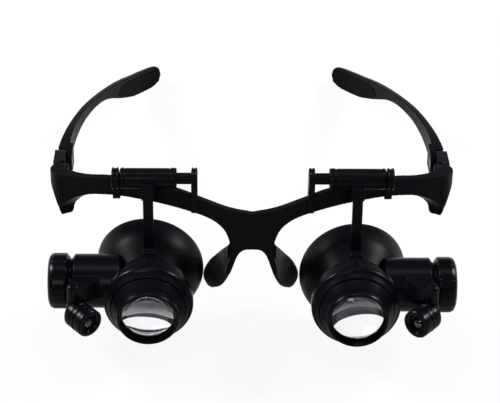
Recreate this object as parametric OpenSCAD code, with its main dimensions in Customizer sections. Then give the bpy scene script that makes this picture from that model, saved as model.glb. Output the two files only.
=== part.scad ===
// Binocular head magnifier: two flip-up loupes with lamps, clipped to a half-rim spectacle frame.
// It is drawn as worn, with the loupe axes level, and then tipped back until it rests on a table
// on the rims of its eyecups and the tips of its temples.
// As worn: X to the wearer's side, Y backwards from the bridge, Z up from the loupe axes.
// Each side's pieces are drawn at +X, and mirrored for the left.

/* [Front frame] */
// Radius of the frame's wrap, seen from above
wrap_r = 222; // [200:1:260]
// Thickness of the brow bar, front to back
bar_t = 3.2; // [2.8:0.1:3.6]
// Distance by which the turn of the end pieces stands outside the fold pins
corner_out = 0.9; // [0.6:0.1:1.6]
// Radius of the turn at each end piece
corner_r = 6; // [5.6:0.1:6.4]
// Height of the end pieces' tops above the loupe axes
brow_z = 39.4; // [39.2:0.1:39.6]
// Pitch of the grip grooves on the end pieces
groove_pitch = 1.12; // [1:0.02:1.2]
// Width of a grip groove
groove_w = 0.5; // [0.3:0.05:0.6]
// Depth of a grip groove
groove_d = 0.45; // [0.2:0.05:0.8]
// Grip grooves on each end piece
groove_count = 13; // [4:1:13]
// Thickness of the nose wings
wing_t = 1.8; // [1.4:0.1:2.4]

/* [Hinges] */
// Distance from the bridge's front back to the seam of the end piece
seam_y = 21.7; // [21.2:0.1:22.4]
// Distance from the middle to the fold pin
fold_x = 71.4; // [71.2:0.1:71.6]
// Radius of the hinge knuckles
knuckle_r = 1.9; // [1.7:0.05:2]
// Radius of the fold pin
fold_pin_r = 0.75; // [0.5:0.05:0.9]
// Width of the hinge block
block_w = 4.4; // [4:0.1:4.8]
// Half the height of the hinge block
block_r = 4.5; // [4.3:0.1:4.7]
// Height of the tilt axis above the loupe axes
tilt_z = 35.1; // [34.9:0.1:35.3]
// Distance from the end piece's seam back to the tilt axis
tilt_back = 9.9; // [9.5:0.1:10.5]
// Thickness of the eye that turns on the tilt screw
eye_t = 2; // [1.6:0.1:2.2]
// Radius of the tilt screw's shank
tilt_screw_r = 1.2; // [0.9:0.1:1.5]
// Radius of the tilt screw's head
tilt_head_r = 2.1; // [1.8:0.1:2.6]

/* [Temples] */
// Thickness of the soft pad set in the temple's end
pad_t = 0.7; // [0.5:0.1:1]

/* [Clips and axle] */
// Height of the axle rods above the loupe axes
rod_z = 44.8; // [44.6:0.1:45.4]
// Radius of an axle rod
rod_r = 2.15; // [1.9:0.05:2.4]
// Inner face of the inner clip
inner_clip_x = 20.5; // [20:0.1:21]
// Width of the inner clip
inner_clip_w = 2.4; // [2.2:0.1:2.8]
// Inner face of the outer clip
outer_clip_x = 49.4; // [49:0.1:50]
// Width of the outer clip
outer_clip_w = 2.8; // [2.4:0.1:3.4]
// Radius of the clips' round heads
clip_head_r = 3.8; // [3.4:0.1:4.1]
// Thickness of a clip's jaws
clip_jaw_t = 1.4; // [1.1:0.1:1.7]
// Length of the sleeve that slides on the rod
sleeve_l = 20.9; // [19:0.1:21.5]
// Radius of the sleeve
sleeve_r = 3.95; // [3.7:0.05:4.2]
// Width of the stem
stem_w = 3.8; // [3.4:0.1:4.4]
// Thickness of the stem
stem_t = 2.2; // [1.8:0.1:2.3]
// Distance of the stem's front from the rod's axis
stem_front = 4.5; // [4.4:0.1:4.7]

/* [Eyecup] */
// Distance of each loupe's axis from the middle
loupe_x = 38.8; // [38.3:0.1:39.2]
// Distance from the bridge's front back to the eyecup's rim
rim_y = 10; // [9.6:0.1:10.4]
// Radius of the eyecup's rim
cup_r = 20.4; // [19.8:0.1:20.8]
// Swing of the left eyecup towards the face, as the part is stored
left_swing = 4.5; // [0:0.5:4.5]
// Wall of the eyecup
cup_wall = 1.4; // [1.1:0.1:1.6]
// Slant of the rim, further back on its outer side
cup_cant = 6; // [4:0.5:7]
// Radius of the eyecup's neck
neck_r = 14; // [13.8:0.1:14.2]
// Distance of the neck's front end from the rim
neck_end = 26.2; // [26:0.1:26.6]

/* [Lens tube] */
// Radius of the lenses
lens_r = 10.2; // [9.8:0.1:10.4]
// Radius of the lens tube in the neck
tube_r = 12.6; // [12.3:0.1:12.6]
// Radius of the tube's step ring
step_r = 13.8; // [13.4:0.1:14]
// Radius of the retaining ring
ring_r = 11.7; // [11.5:0.1:11.9]
// Length of the whole loupe, from its rim to the retaining ring's front
loupe_l = 37.5; // [36.8:0.1:38.5]
// Radius of the view through the retaining ring
view_r = 9.5; // [9:0.1:9.7]
// Radius of curvature of the front lens's front
lens_curve = 21.6; // [20:0.1:30]

/* [Battery housing] */
// Radius of the collar's flange
flange_r = 16.8; // [16:0.1:17.2]
// Radius of the battery housing
housing_r = 10.2; // [9.8:0.1:10.4]
// Height of the battery housing's axis above the loupe axis
housing_z = 4.35; // [4:0.05:4.6]
// Distance of the housing's axis in front of the rim
housing_s = 18.5; // [18.2:0.1:18.9]
// Distance from the middle to the housing's outer end
housing_x = 67.3; // [66.9:0.1:67.6]
// Radius of the neck that the cap turns on
spigot_r = 8.4; // [8:0.1:8.6]
// Radius of the battery cap
cap_r = 10.5; // [10.2:0.1:10.8]
// Length of the battery cap
cap_l = 8; // [7.4:0.1:8.4]
// Radius of a button cell
cell_r = 5.8; // [5.4:0.1:6]
// Thickness of a button cell
cell_t = 3.1; // [2.9:0.05:3.15]

/* [Lamp] */
// Distance of the lamp's pivot inwards of the housing's outer end
pivot_in = 1.1; // [0.9:0.1:1.5]
// Distance of the lamp's pivot in front of the bridge's front
pivot_y = 22.4; // [22.2:0.1:22.8]
// Radius of the lamp's pivot pin
lamp_pin_r = 0.9; // [0.6:0.05:1.2]
// Radius of the lamp head
head_r = 5.4; // [5.2:0.1:5.5]
// Turn of the lamp towards the loupe's axis
lamp_toe = 41; // [36:0.5:42]
// Radius of the light-emitting diode
led_r = 2.9; // [2.6:0.1:3]

/* [Hidden] */

$fn = 96;
// Running clearance between a shaft and its bore
run = 0.05;
// Gap between pieces that move past each other
gap = 0.3;
// Reach of a cut that goes right through
far = 60;

// Distance from the middle to where the end pieces turn back
corner_x = fold_x + corner_out;
// Distance from the middle to where the brow bar runs into the end pieces
brow_end = corner_x - 12.3;

// Height of the brow's top edge and of its lower edge with the nose arch, from the middle outwards
brow_top = [[0, 29.3], [9, 31.2], [19.5, 35.2], [30, 38.8], [brow_end - 10, 41.1], [brow_end, 40.4],
    [brow_end + 8, brow_z + 0.1]];
brow_low = [[brow_end + 2, 33.2], [brow_end - 8, 34.2], [40, 33.5], [28, 31.3], [17, 27.8], [11, 23.2],
    [8.4, 17], [7.9, 12.5],
    [9.4, 6.6], [9.8, 3.4], [8.4, 3.4], [7.2, 6.4], [5.5, 11.3], [3.4, 13.8], [0, 14.3]];
// Lower edge of the ribbed panel on the end piece
panel_low = [for (p = [[-20.3, 34.2], [-16.3, 33.9], [-10.9, 33.2], [-7.7, 32], [-4.7, 30.5], [-2.3, 28.8],
    [-0.3, 26.7], [0.7, 24.5], [1, 21.5]]) p + [corner_x, 0]];
// Outer edge of the end piece, seen from the front
shield_side = [for (p = [[5.2, 44], [5.2, 38], [4.1, 34.5], [2.8, 30.7], [1.5, 26.7], [-0.1, 22]])
    p + [corner_x, 0]];
shield_low_z = 21.9;
// Rear fall of the end piece, seen from the side
shield_back_y = seam_y - 6.2;
// Inner side of the end piece, seen from above, up to its seam
seam_in = fold_x - 0.7;
seam_out = fold_x + 3.6;
shield_back = [[brow_end, bar_back(brow_end)], [brow_end + 2, bar_back(brow_end + 2) + 0.1],
    [brow_end + 5, bar_back(brow_end + 5) + 0.8], [fold_x - 2.8, seam_y - 5.5], [fold_x - 0.9, seam_y - 2.9],
    [seam_in, seam_y]];

// Hinge
tilt_y = seam_y + tilt_back;
block_in = fold_x - 0.2;
knuckle_h = 3;
knuckle_split = 0.3;
eye_out = block_in - gap;
eye_in = eye_out - eye_t;
eye_r = block_r - 0.1;
tilt_head_t = 0.8;

// Temple: outer face seen from above, with the thickness at each knot, and the two edges seen from the side
arm_path = [[seam_out, tilt_y - 3], [fold_x + 2.3, 45], [fold_x - 0.5, 65], [fold_x - 5.7, 90],
    [fold_x - 14.4, 120], [fold_x - 24.2, 144.5], [fold_x - 31.8, 156.5]];
arm_end_t = 2.4;
arm_thick = [5.6, 3.6, 2.6, arm_end_t, arm_end_t, arm_end_t, arm_end_t];
arm_top = [[tilt_y - 3, tilt_z + block_r], [34, tilt_z + block_r], [46, 39.2], [60, 37.9], [76, 36],
    [92, 33.2], [108, 30], [122, 26.8], [134, 23.6], [145, 20.7], [152, 18.9], [155.2, 17.4], [156.2, 15]];
arm_low = [[156.2, 15], [155.5, 12.9], [153.6, 11.2], [149.5, 10.2], [145, 10.8], [140, 12], [134, 13.6],
    [128, 15.9], [122, 18.4], [116, 21.2], [108, 24.9], [100, 27.6], [92, 29.3], [84, 30.4], [74, 31.3],
    [62, 31.3], [52, 30.8], [42, tilt_z - block_r], [tilt_y - 3, tilt_z - block_r]];
// Soft pad: its outline seen from the side
pad_edge = [[118.2, 22], [120, 23.6], [124, 23.8], [130, 22.8], [137, 21], [144, 19.2], [150, 17.6],
    [153, 16.2], [154.2, 14.4], [153.4, 12.7], [151, 11.6], [147, 11.5], [141, 12.7], [135, 14.3],
    [129, 16.5], [123, 19.1], [119.2, 20.6]];

// Loupe positions
sleeve_x = outer_clip_x - gap - sleeve_l;
socket_low = rod_z - 7;
socket_top = rod_z + 0.2;
rail_w = 0.5;
stem_top = rod_z - 0.6;
stem_seat = cup_r - 4.1;
boss_top = cup_r - 3.5;
rib_w = 3;
rib_top = boss_top - 0.7;
// Flat on the rod that keys the sleeve
rod_flat = rod_r - 0.5;

// Stations along the loupe, measured forwards from the rim
collar_back = 18.4;
flange_back = neck_end - 3;
tube_back = 14.5;
step_end = neck_end + 2.6;
cone_end = loupe_l - 3.8;
ring_seat = loupe_l - 2.5;
// Start of the taper that runs from the flange's front edge to the retaining ring
taper_r = flange_r - 1.2;
taper_s = step_end - 0.4;
lens_stop = 22;
rear_edge = 2.5;
front_edge = 2.6;
front_stop = ring_seat - 0.4 - front_edge;
rear_curve = 60;
spacer_t = 0.9;

// Battery housing, measured from the middle outwards
bore_r = cell_r + 0.2;
cap_gap = 1.1;
spigot_end = housing_x + cap_gap + 3;
cell_x = spigot_end - 3 * cell_t;
plate_t = 0.4;
cavity_x = cell_x - 4.4;
housing_y = rim_y - housing_s;
// Distance from the middle to the lamp's pivot
pivot_x = housing_x - pivot_in;

// Lamp
lug_top = 11.6;
head_z = 0;
lug_low = head_z + head_r + 1.5 * gap;
lug_r = 2.6;
head_l = 11.2;
bezel_l = 1.6;
head_back = 2.6;
pin_seat = 3;
diode_back = 7;
diode_foot = 1;

// Height and depth of the brow bar's faces at a distance x from the middle
function bar_front(x) = wrap_r - sqrt(wrap_r * wrap_r - x * x);
function bar_back(x) = wrap_r - sqrt((wrap_r - bar_t) * (wrap_r - bar_t) - x * x);

// Station of the taper in front of the flange at a radius r
function taper(r) = taper_s + (taper_r - r) * (cone_end - taper_s) / (taper_r - ring_r - 0.1);

// Smooth curve through a row of knots, in n steps between each pair
function curve(k, n = 4) = [
    for (i = [0 : len(k) - 2], j = [0 : n - 1])
        let (t = j / n, a = k[max(i - 1, 0)], b = k[i], c = k[i + 1], d = k[min(i + 2, len(k) - 1)])
        b + 0.5 * ((c - a) * t + (2 * a - 5 * b + 4 * c - d) * t * t + (3 * b - a - 3 * c + d) * t * t * t),
    k[len(k) - 1]];
// Points on a circular arc from angle a0 to a1
function arc(c, r, a0, a1, n) = [for (i = [0 : n]) c + r * [cos(a0 + (a1 - a0) * i / n), sin(a0 + (a1 - a0) * i / n)]];
function reversed(p) = [for (i = [len(p) - 1 : -1 : 0]) p[i]];
function flipped(p) = [for (q = p) [-q[0], q[1]]];
// A row of points moved sideways by the distances in d
function beside(p, d) = [for (i = [0 : len(p) - 1])
    let (t = p[min(i + 1, len(p) - 1)] - p[max(i - 1, 0)])
    p[i] + d[i] * [-t[1], t[0]] / norm(t)];
function raised(p, g) = [for (q = p) [q[0], q[1] + g]];

// The eyecup's lowest point with the loupe swung back by a: [depth, height]
function rim_low(a) = [rim_y * cos(a) + (rod_z + cup_r) * sin(a), rod_z - (rod_z + cup_r) * cos(a) + rim_y * sin(a)];
// Rest on a table: the slope from the swung eyecup's rim to the lowest point of the temple's tip
rest_rim = rim_low(left_swing);
rest_pitch = min([for (p = curve(arm_low)) if (p[0] > 100) atan2(p[1] - rest_rim[1], p[0] - rest_rim[0])]);
rest_lift = rest_rim[0] * sin(rest_pitch) - rest_rim[1] * cos(rest_pitch);
front_reach = -32.2;
back_reach = 156.2;
rest_mid = ((front_reach + back_reach) * cos(rest_pitch) + (head_z - 4 + 15) * sin(rest_pitch)) / 2;

// Puts what is drawn as worn on the table, with the middle of the part's depth at the origin
module rest() {
    translate([0, -rest_mid, rest_lift]) rotate([-rest_pitch, 0, 0]) children();
}
// The left side is the mirror image of the right
module side(s) {
    rest() mirror([s < 0 ? 1 : 0, 0, 0]) children();
}
// The same for what hangs from the axle rod: the left side is stored swung a little back
module hung(s) {
    side(s) translate([0, 0, rod_z]) rotate([s < 0 ? left_swing : 0, 0, 0]) translate([0, 0, -rod_z]) children();
}
// Shape seen from the front, extruded through the frame's depth
module from_front() {
    translate([0, far / 2, 0]) rotate([90, 0, 0]) linear_extrude(height = far) children();
}
// Shape seen from the side (first axis back, second up), extruded from x to x + w
module from_side(x, w) {
    translate([x, 0, 0]) rotate([90, 0, 90]) linear_extrude(height = w) children();
}
// Local frame of the loupe: its axis is Z, forwards from the rim
module on_loupe() {
    translate([loupe_x, rim_y, 0]) rotate([90, 0, 0]) children();
}
// Local frame of the battery housing: its axis is Z, outwards from the middle
module on_housing() {
    translate([0, housing_y, housing_z]) rotate([0, 90, 0]) children();
}
// Local frame of the lamp: its axis is Z, backwards from the lamp's front
module on_lamp() {
    translate([pivot_x, -pivot_y, head_z]) rotate([-90, 0, -lamp_toe]) 
        translate([0, 0, head_back - head_l - 1.2]) children();
}

// Brow bar, bridge and nose arch between the end pieces, thickened all round by g
module brow(g = 0) {
    half = concat(raised(curve(brow_top), g), raised(curve(brow_low), -g));
    intersection() {
        from_front() polygon(concat(half, reversed(flipped(half))));
        translate([0, wrap_r, -10]) difference() {
            cylinder(r = wrap_r + g, h = far, $fn = 360);
            translate([0, 0, -1]) cylinder(r = wrap_r - bar_t - g, h = far + 2, $fn = 360);
        }
        from_front() polygon([[-brow_end, 0], [brow_end, 0], [brow_end, far], [-brow_end, far]]);
    }
}
// Direction in which the end piece's lower bevel runs back and inwards, seen from above
bevel_yaw = 62;

// End piece with its side shield, ribbed panel and hinge ears
module end_piece() {
    corner_a = asin(corner_x / wrap_r);
    corner_c = [corner_x - corner_r * sin(corner_a), bar_front(corner_x) + corner_r * cos(corner_a)];
    plan = concat([for (x = [0 : 10]) [brow_end + x, bar_front(brow_end + x)]],
        arc(corner_c, corner_r, corner_a - 90, 22, 10), [[seam_out, seam_y]], reversed(curve(shield_back)));
    front = concat([[brow_end - 4, 44]], curve(shield_side), [[corner_x - 5.3, shield_low_z],
        [brow_end - 4, shield_low_z]]);
    top = concat([[brow_end - 4, 20]], [for (x = [-2 : 2 : 6]) [brow_end + x, brow_edge(brow_end + x)]],
        [[corner_x + 8, brow_z], [corner_x + 8, 20]]);
    bevel = [for (p = panel_low) [p[0] * cos(bevel_yaw) + bar_front(p[0]) * sin(bevel_yaw), p[1]]];
    difference() {
        intersection() {
            translate([0, 0, 10]) linear_extrude(height = far) polygon(plan);
            from_front() polygon(front);
            from_front() polygon(top);
            from_side(brow_end - 10, 40) polygon([[0, 15], [shield_back_y - 2, 15], [shield_back_y, shield_low_z + 1.4],
                [seam_y, tilt_z - block_r + 0.2], [seam_y, 50], [0, 50]]);
        }
        rotate([90, 0, bevel_yaw]) translate([0, 0, -far]) linear_extrude(height = 2 * far)
            polygon(concat(bevel, [[bevel[len(bevel) - 1][0], 0], [bevel[0][0] - 20, 0],
                [bevel[0][0] - 20, bevel[0][1]]]));
        for (i = [0 : groove_count - 1]) groove((i - groove_count + 2) * groove_pitch, corner_c, corner_a);
    }
}
// Height of the brow's top edge at x
function brow_edge(x) = lookup(x, curve(brow_top));
// Grip groove at a distance s along the end piece's face from the start of its corner
module groove(s, corner_c, corner_a) {
    turn = corner_a + max(s, 0) / corner_r * 180 / PI;
    start = s > 0 ? corner_c + corner_r * [sin(turn), -cos(turn)]
        : [corner_x + s * cos(corner_a), bar_front(corner_x + s * cos(corner_a))];
    low = lookup(start[0], panel_low) + 1.3;
    translate([start[0], start[1], (low + brow_z - 1.2) / 2]) rotate([0, 0, turn])
        cube([groove_w, 2 * groove_d, brow_z - 1.2 - low], center = true);
}
// Nose wing: a thin plate that flares back and outwards from the nose arch
wing_inner = [[8.6, 2.4, 14], [8.3, 3.2, 5.2], [9.6, 6.5, -0.8], [11.4, 9.5, -5.8], [14.2, 12.5, -8.9], [15, 14, -10]];
wing_outer = [[9.6, 7, 9.3], [12.2, 12, 4.8], [14.3, 13.2, 2.6], [16.1, 14, -0.2], [17.3, 14.4, -2.6],
    [17.6, 14.6, -5.2], [17.3, 15, -7.9], [16.2, 14.8, -9.4]];
module plate(points) {
    hull() for (p = points) translate(p) sphere(r = wing_t / 2, $fn = 24);
}
module nose_wing() {
    plate([wing_inner[0], wing_inner[1], wing_outer[0]]);
    plate([wing_inner[1], wing_inner[2], wing_outer[0], wing_outer[1]]);
    plate(concat([for (i = [2 : 5]) wing_inner[i]], [for (i = [1 : 7]) wing_outer[i]]));
}
// Hinge knuckles about the fold pin, at the heights from z0 to z1
module knuckle(z0, z1, r) {
    translate([fold_x, seam_y, z0]) cylinder(r = r, h = z1 - z0);
}
module front_frame() {
    color("#141416") rest() union() {
        brow();
        for (m = [0, 1]) mirror([m, 0, 0]) {
            nose_wing();
            difference() {
                union() {
                    end_piece();
                    knuckle(tilt_z - block_r + 0.3, tilt_z - knuckle_h / 2, knuckle_r);
                    knuckle(tilt_z + knuckle_h / 2, tilt_z + block_r - 0.5, knuckle_r);
                }
                knuckle(tilt_z - knuckle_h / 2, tilt_z + knuckle_h / 2, knuckle_r + gap);
                knuckle(0, far, fold_pin_r);
            }
        }
    }
}
module fold_pin() {
    color("#8a8c90") knuckle(tilt_z - block_r + 0.3, tilt_z + block_r - 0.5, fold_pin_r);
}
// Hinge block: turns on the fold pin, and its round rear end carries the temple's tilt
module hinge_block() {
    color("#1a1a1d") difference() {
        union() {
            translate([block_in, seam_y + gap, tilt_z - block_r]) cube([block_w, tilt_back - gap, 2 * block_r]);
            translate([block_in, tilt_y, tilt_z]) rotate([0, 90, 0]) cylinder(r = block_r, h = block_w);
            knuckle(tilt_z - knuckle_h / 2 + knuckle_split, tilt_z + knuckle_h / 2 - knuckle_split, knuckle_r);
        }
        knuckle(0, tilt_z - knuckle_h / 2 + knuckle_split, knuckle_r + gap);
        knuckle(tilt_z + knuckle_h / 2 - knuckle_split, far, knuckle_r + gap);
        knuckle(0, far, fold_pin_r + run);
        translate([block_in - 1, tilt_y, tilt_z]) rotate([0, 90, 0]) cylinder(r = tilt_screw_r + run, h = 3.6);
    }
}
module tilt_screw() {
    color("#77797d") translate([0, tilt_y, tilt_z]) rotate([0, 90, 0]) difference() {
        union() {
            translate([0, 0, eye_in + 0.1]) cylinder(r = tilt_screw_r, h = block_in + 2.4 - eye_in - 0.1);
            translate([0, 0, eye_in + 0.1]) cylinder(r = tilt_head_r, h = tilt_head_t);
        }
        translate([-3, -0.3, eye_in - 0.4]) cube([6, 0.6, 0.9]);
    }
}
// Layer of the temple's wall between two depths under its outer face, seen from above
module arm_layer(d0, d1) {
    path = curve(arm_path);
    translate([0, 0, -5]) linear_extrude(height = far)
        polygon(concat(beside(path, [for (p = path) d0]), reversed(beside(path, [for (p = path) d1]))));
}
module temple_arm() {
    path = curve(arm_path);
    thick = [for (p = curve([for (t = arm_thick) [0, t]])) p[1]];
    color("#1b1b1e") difference() {
        union() {
            intersection() {
                translate([0, 0, -5]) linear_extrude(height = far)
                    polygon(concat(path, reversed(beside(path, thick))));
                from_side(20, 70) polygon(concat(curve(arm_top), curve(arm_low)));
                translate([0, tilt_y, 0]) cube([100, 200, 60]);
            }
            translate([eye_in, tilt_y, tilt_z]) rotate([0, 90, 0]) cylinder(r = eye_r, h = eye_t);
            translate([eye_in, tilt_y, tilt_z - eye_r]) cube([eye_t, block_r + 3, 2 * eye_r]);
        }
        translate([eye_out, tilt_y, tilt_z]) rotate([0, 90, 0]) cylinder(r = block_r + gap, h = 10);
        translate([eye_in - 1, tilt_y, tilt_z]) rotate([0, 90, 0]) cylinder(r = tilt_screw_r, h = 5);
        translate([eye_in - 1, tilt_y, tilt_z]) rotate([0, 90, 0]) cylinder(r = tilt_head_r, h = 1.1 + tilt_head_t);
        pad_shape(1);
    }
}
// The soft pad's space in the temple's inner face, reaching out of the face by up
module pad_shape(up) {
    intersection() {
        arm_layer(arm_end_t - pad_t, arm_end_t + up);
        from_side(20, 60) polygon(curve(concat(pad_edge, [pad_edge[0]]), 3));
    }
}
module temple_pad() {
    color("#0a0a0b") pad_shape(0.15);
}

// Clip on the brow bar with a round head for the rod, from x to x + w, reaching the distance low below the bar
module clip(x, w, low, head_in) {
    mid = x + w / 2;
    y0 = bar_front(mid);
    y1 = bar_back(mid);
    z0 = lookup(mid, reversed(brow_low));
    z1 = brow_edge(mid);
    rear_low = low > 0 ? [[y1 + 0.2, z0 - low], [y1 + 0.9, z0 - 0.3], [y1 + 0.9, z0 + 1], [y0 - 0.2, z0 + 1]] : [];
    color("#0e0e10") difference() {
        union() {
            from_side(x, w) polygon(concat([[y0 - clip_jaw_t, z0 - low + 0.8], [y0 - 0.3, z0 - low]], rear_low,
                [[y0 - 0.2, z1 - 0.5], [y1 + 1, z1 - 0.8], [y1 + 1, z1 + 0.6], [y1, z1 + 1.4], [2.4, rod_z],
                [-2.6, rod_z - 1], [-2.6, rod_z - 3], [y0 - clip_jaw_t, z1 - 1.4]]));
            translate([x, 0, rod_z]) rotate([0, 90, 0]) rotate_extrude() polygon([[0, 0], [clip_head_r - 0.5, 0],
                [clip_head_r, 0.5], [clip_head_r, w - 0.5], [clip_head_r - 0.5, w], [0, w]]);
        }
        brow(0.04);
        translate([head_in, 0, rod_z]) rotate([0, 90, 0]) cylinder(r = rod_r + run, h = w);
    }
}
module outer_clip() {
    clip(outer_clip_x, outer_clip_w, 1, outer_clip_x - 0.8);
}
module inner_clip() {
    clip(inner_clip_x, inner_clip_w, -0.3, inner_clip_x + 0.8);
}
// Axle rod with a flat that keys the sleeve, round where it turns in the clips
module axle_rod() {
    start = inner_clip_x + 0.9;
    end = outer_clip_x + outer_clip_w - 0.9;
    color("#101013") difference() {
        translate([start, 0, rod_z]) rotate([0, 90, 0]) cylinder(r = rod_r, h = end - start);
        translate([inner_clip_x + inner_clip_w + 0.1, rod_flat, rod_z - 5])
            cube([outer_clip_x - inner_clip_x - inner_clip_w - 0.2, 5, 10]);
    }
}
// Sleeve that slides on the rod, with the socket of the stem on its front
module sleeve() {
    color("#0d0d0f") difference() {
        union() {
            translate([sleeve_x, 0, rod_z]) rotate([0, 90, 0]) rotate_extrude()
                polygon([[0, 0], [sleeve_r - 0.5, 0], [sleeve_r, 0.6], [sleeve_r, sleeve_l - 0.6],
                    [sleeve_r - 0.5, sleeve_l], [0, sleeve_l]]);
            translate([loupe_x - stem_w / 2 - rail_w, -stem_front - 0.2, socket_low])
                cube([stem_w + 2 * rail_w, stem_front + 0.2 - 1.2, socket_top - socket_low]);
        }
        difference() {
            translate([sleeve_x - 1, 0, rod_z]) rotate([0, 90, 0]) cylinder(r = rod_r + run, h = sleeve_l + 2);
            translate([sleeve_x - 2, rod_flat + run, rod_z - 5]) cube([sleeve_l + 4, 5, 10]);
        }
        translate([loupe_x - stem_w / 2, -stem_front - 1, socket_low - 1])
            cube([stem_w, stem_t + 1, stem_top - socket_low + 1]);
    }
}
// Flat stem from the sleeve's socket down to the eyecup
module stem() {
    color("#0f0f11") translate([loupe_x - stem_w / 2, -stem_front, stem_seat])
        cube([stem_w, stem_t, stem_top - stem_seat]);
}

// Eyecup's outline as radius and distance from the rim: g outside its outer face
function cup_outer(g) = [for (p = curve([[cup_r, -3], [cup_r, 0], [cup_r, 3], [cup_r - 0.5, 6], [cup_r - 1.5, 9.5],
    [cup_r - 3.1, 12.5], [neck_r + 1.5, 15.4], [neck_r + 0.3, 17.4], [neck_r, collar_back]])) p + [g, 0]];
module eyecup() {
    color("#151518") on_loupe() difference() {
        union() {
            rotate_extrude() polygon(concat([[0, -3]], cup_outer(0), [[neck_r, neck_end], [0, neck_end]]));
            translate([-stem_w / 2 - 0.2, neck_r - 0.5, rim_y + stem_front])
                cube([stem_w + 0.4, boss_top - neck_r + 0.5, collar_back - run - rim_y - stem_front]);
        }
        rotate_extrude() polygon(concat([[0, -4], [cup_r - cup_wall, -4]], cup_outer(-cup_wall),
            [[tube_r + run, collar_back], [tube_r + run, neck_end + 1], [0, neck_end + 1]]));
        translate([-stem_w / 2, stem_seat, rim_y + stem_front - stem_t]) cube([stem_w, 10, stem_t]);
        rotate([0, cup_cant, 0]) translate([-far, -far, -far]) cube([2 * far, 2 * far, far]);
    }
}
// Collar on the eyecup's neck, with the flange, the battery housing and the lamp's lug
module collar() {
    color("#121214") difference() {
        union() {
            on_loupe() rotate_extrude() polygon([[neck_r, collar_back], [neck_r + 1.2, collar_back],
                [neck_r + 1.2, flange_back - 0.8], [flange_r - 0.4, flange_back], [flange_r, flange_back + 0.4],
                [flange_r, step_end - 1.8], [flange_r - 0.3, step_end - 1], [taper_r, taper_s],
                [neck_r, taper(neck_r)]]);
            on_loupe() translate([-rib_w / 2, neck_r, collar_back])
                cube([rib_w, rib_top - neck_r, flange_back - collar_back + 0.5]);
            on_housing() rotate_extrude() polygon([[0, loupe_x + 9], [housing_r, loupe_x + 11],
                [housing_r, housing_x - 0.9], [housing_r - 1.2, housing_x], [spigot_r, housing_x],
                [spigot_r, spigot_end], [0, spigot_end]]);
            lamp_lug();
        }
        on_loupe() rotate_extrude() polygon(concat([[0, -3]], cup_outer(0.12), [[neck_r, collar_back],
            [neck_r, neck_end], [step_r + gap, neck_end], [step_r + gap, far], [0, far]]));
        on_housing() translate([0, 0, cavity_x]) cylinder(r = bore_r, h = far);
        translate([pivot_x, -pivot_y, 0]) cylinder(r = lamp_pin_r + run, h = 20);
    }
}
// Lug on the housing's front, with the bore of the lamp's pivot in its round end
module lamp_lug() {
    root_y = housing_y - housing_r + 3;
    lug_in = pivot_x - 8.7;
    translate([0, 0, lug_low]) linear_extrude(height = lug_top - lug_low)
        polygon(concat([[lug_in, root_y], [lug_in, root_y - 3.4]], arc([pivot_x, -pivot_y], lug_r, -120, 0, 12),
            [[pivot_x + lug_r, -pivot_y + 1], [pivot_x + 0.6, root_y]]));
}
// Screw cap of the battery housing, with shallow flutes
module battery_cap() {
    x0 = housing_x + cap_gap;
    color("#101012") difference() {
        on_housing() rotate_extrude() polygon([[0, x0], [cap_r - 1.6, x0], [cap_r, x0 + 1.3], [cap_r, x0 + cap_l - 2.2],
            [cap_r - 0.5, x0 + cap_l - 1], [cap_r - 1.6, x0 + cap_l - 0.25], [cap_r - 3.4, x0 + cap_l], [0, x0 + cap_l]]);
        on_housing() translate([0, 0, x0 - 1]) cylinder(r = spigot_r + run, h = 1 + spigot_end - x0 + 0.2);
        on_housing() for (i = [0 : 9]) rotate([0, 0, 36 * i + 12])
            translate([cap_r + 0.7, 0, x0 + 1.6]) cylinder(r = 1, h = cap_l - 4, $fn = 32);
    }
}
module button_cells() {
    color("#b9bbc0") on_housing() for (i = [0 : 2]) translate([0, 0, cell_x + i * cell_t]) rotate_extrude()
        polygon([[0, 0], [cell_r - 0.6, 0], [cell_r - 0.6, 0.25], [cell_r, 0.25], [cell_r, cell_t - 0.05], [0, cell_t - 0.05]]);
}
module contact_spring() {
    color("#a8a9ad") on_housing() translate([0, 0, cavity_x + plate_t]) rotate_extrude()
        polygon([[3.4, 0], [4, 0], [2.6, cell_x - cavity_x - plate_t], [2, cell_x - cavity_x - plate_t]]);
}
module contact_plate() {
    color("#b0a070") on_housing() translate([0, 0, cavity_x]) cylinder(r = bore_r - 0.3, h = plate_t);
}

// Lens tube: pushed into the neck, with its step and its taper in front, flared inside behind the lenses
module lens_tube() {
    color("#0f0f12") on_loupe() rotate_extrude() polygon([[tube_r - 0.8, tube_back], [tube_r, tube_back],
        [tube_r, neck_end + 0.2], [step_r - 0.4, neck_end + 0.2], [step_r, neck_end + 0.6], [step_r, taper(step_r)],
        [ring_r + 0.1, cone_end - 0.1], [lens_r + 0.7, cone_end - 0.1],
        [lens_r + 0.7, ring_seat], [lens_r, ring_seat], [lens_r, lens_stop], [view_r - 0.4, lens_stop],
        [view_r - 0.4, lens_stop - 0.8]]);
}
module retaining_ring() {
    color("#16161a") on_loupe() rotate_extrude() polygon([[view_r, ring_seat], [lens_r + 0.7, ring_seat],
        [lens_r + 0.7, cone_end], [ring_r, cone_end], [ring_r, loupe_l - 0.8], [ring_r - 0.4, loupe_l - 0.1],
        [ring_r - 0.7, loupe_l], [ring_r - 0.9, loupe_l - 0.1], [view_r, ring_seat + 0.5]]);
}
// Points on a lens's face: r_max wide, curved by rc, with its edge at s and bulging by sign
function lens_face(r_max, rc, s, sign) = [for (i = [0 : 8]) let (r = r_max * (1 - i / 8))
    [r, s + sign * (sqrt(rc * rc - r * r) - sqrt(rc * rc - r_max * r_max))]];
module front_lens() {
    color("#cfd6e0", 0.5) on_loupe() rotate_extrude()
        polygon(concat(reversed(lens_face(lens_r, rear_curve, front_stop, -1)),
            lens_face(lens_r, lens_curve, front_stop + front_edge, 1)));
}
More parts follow.
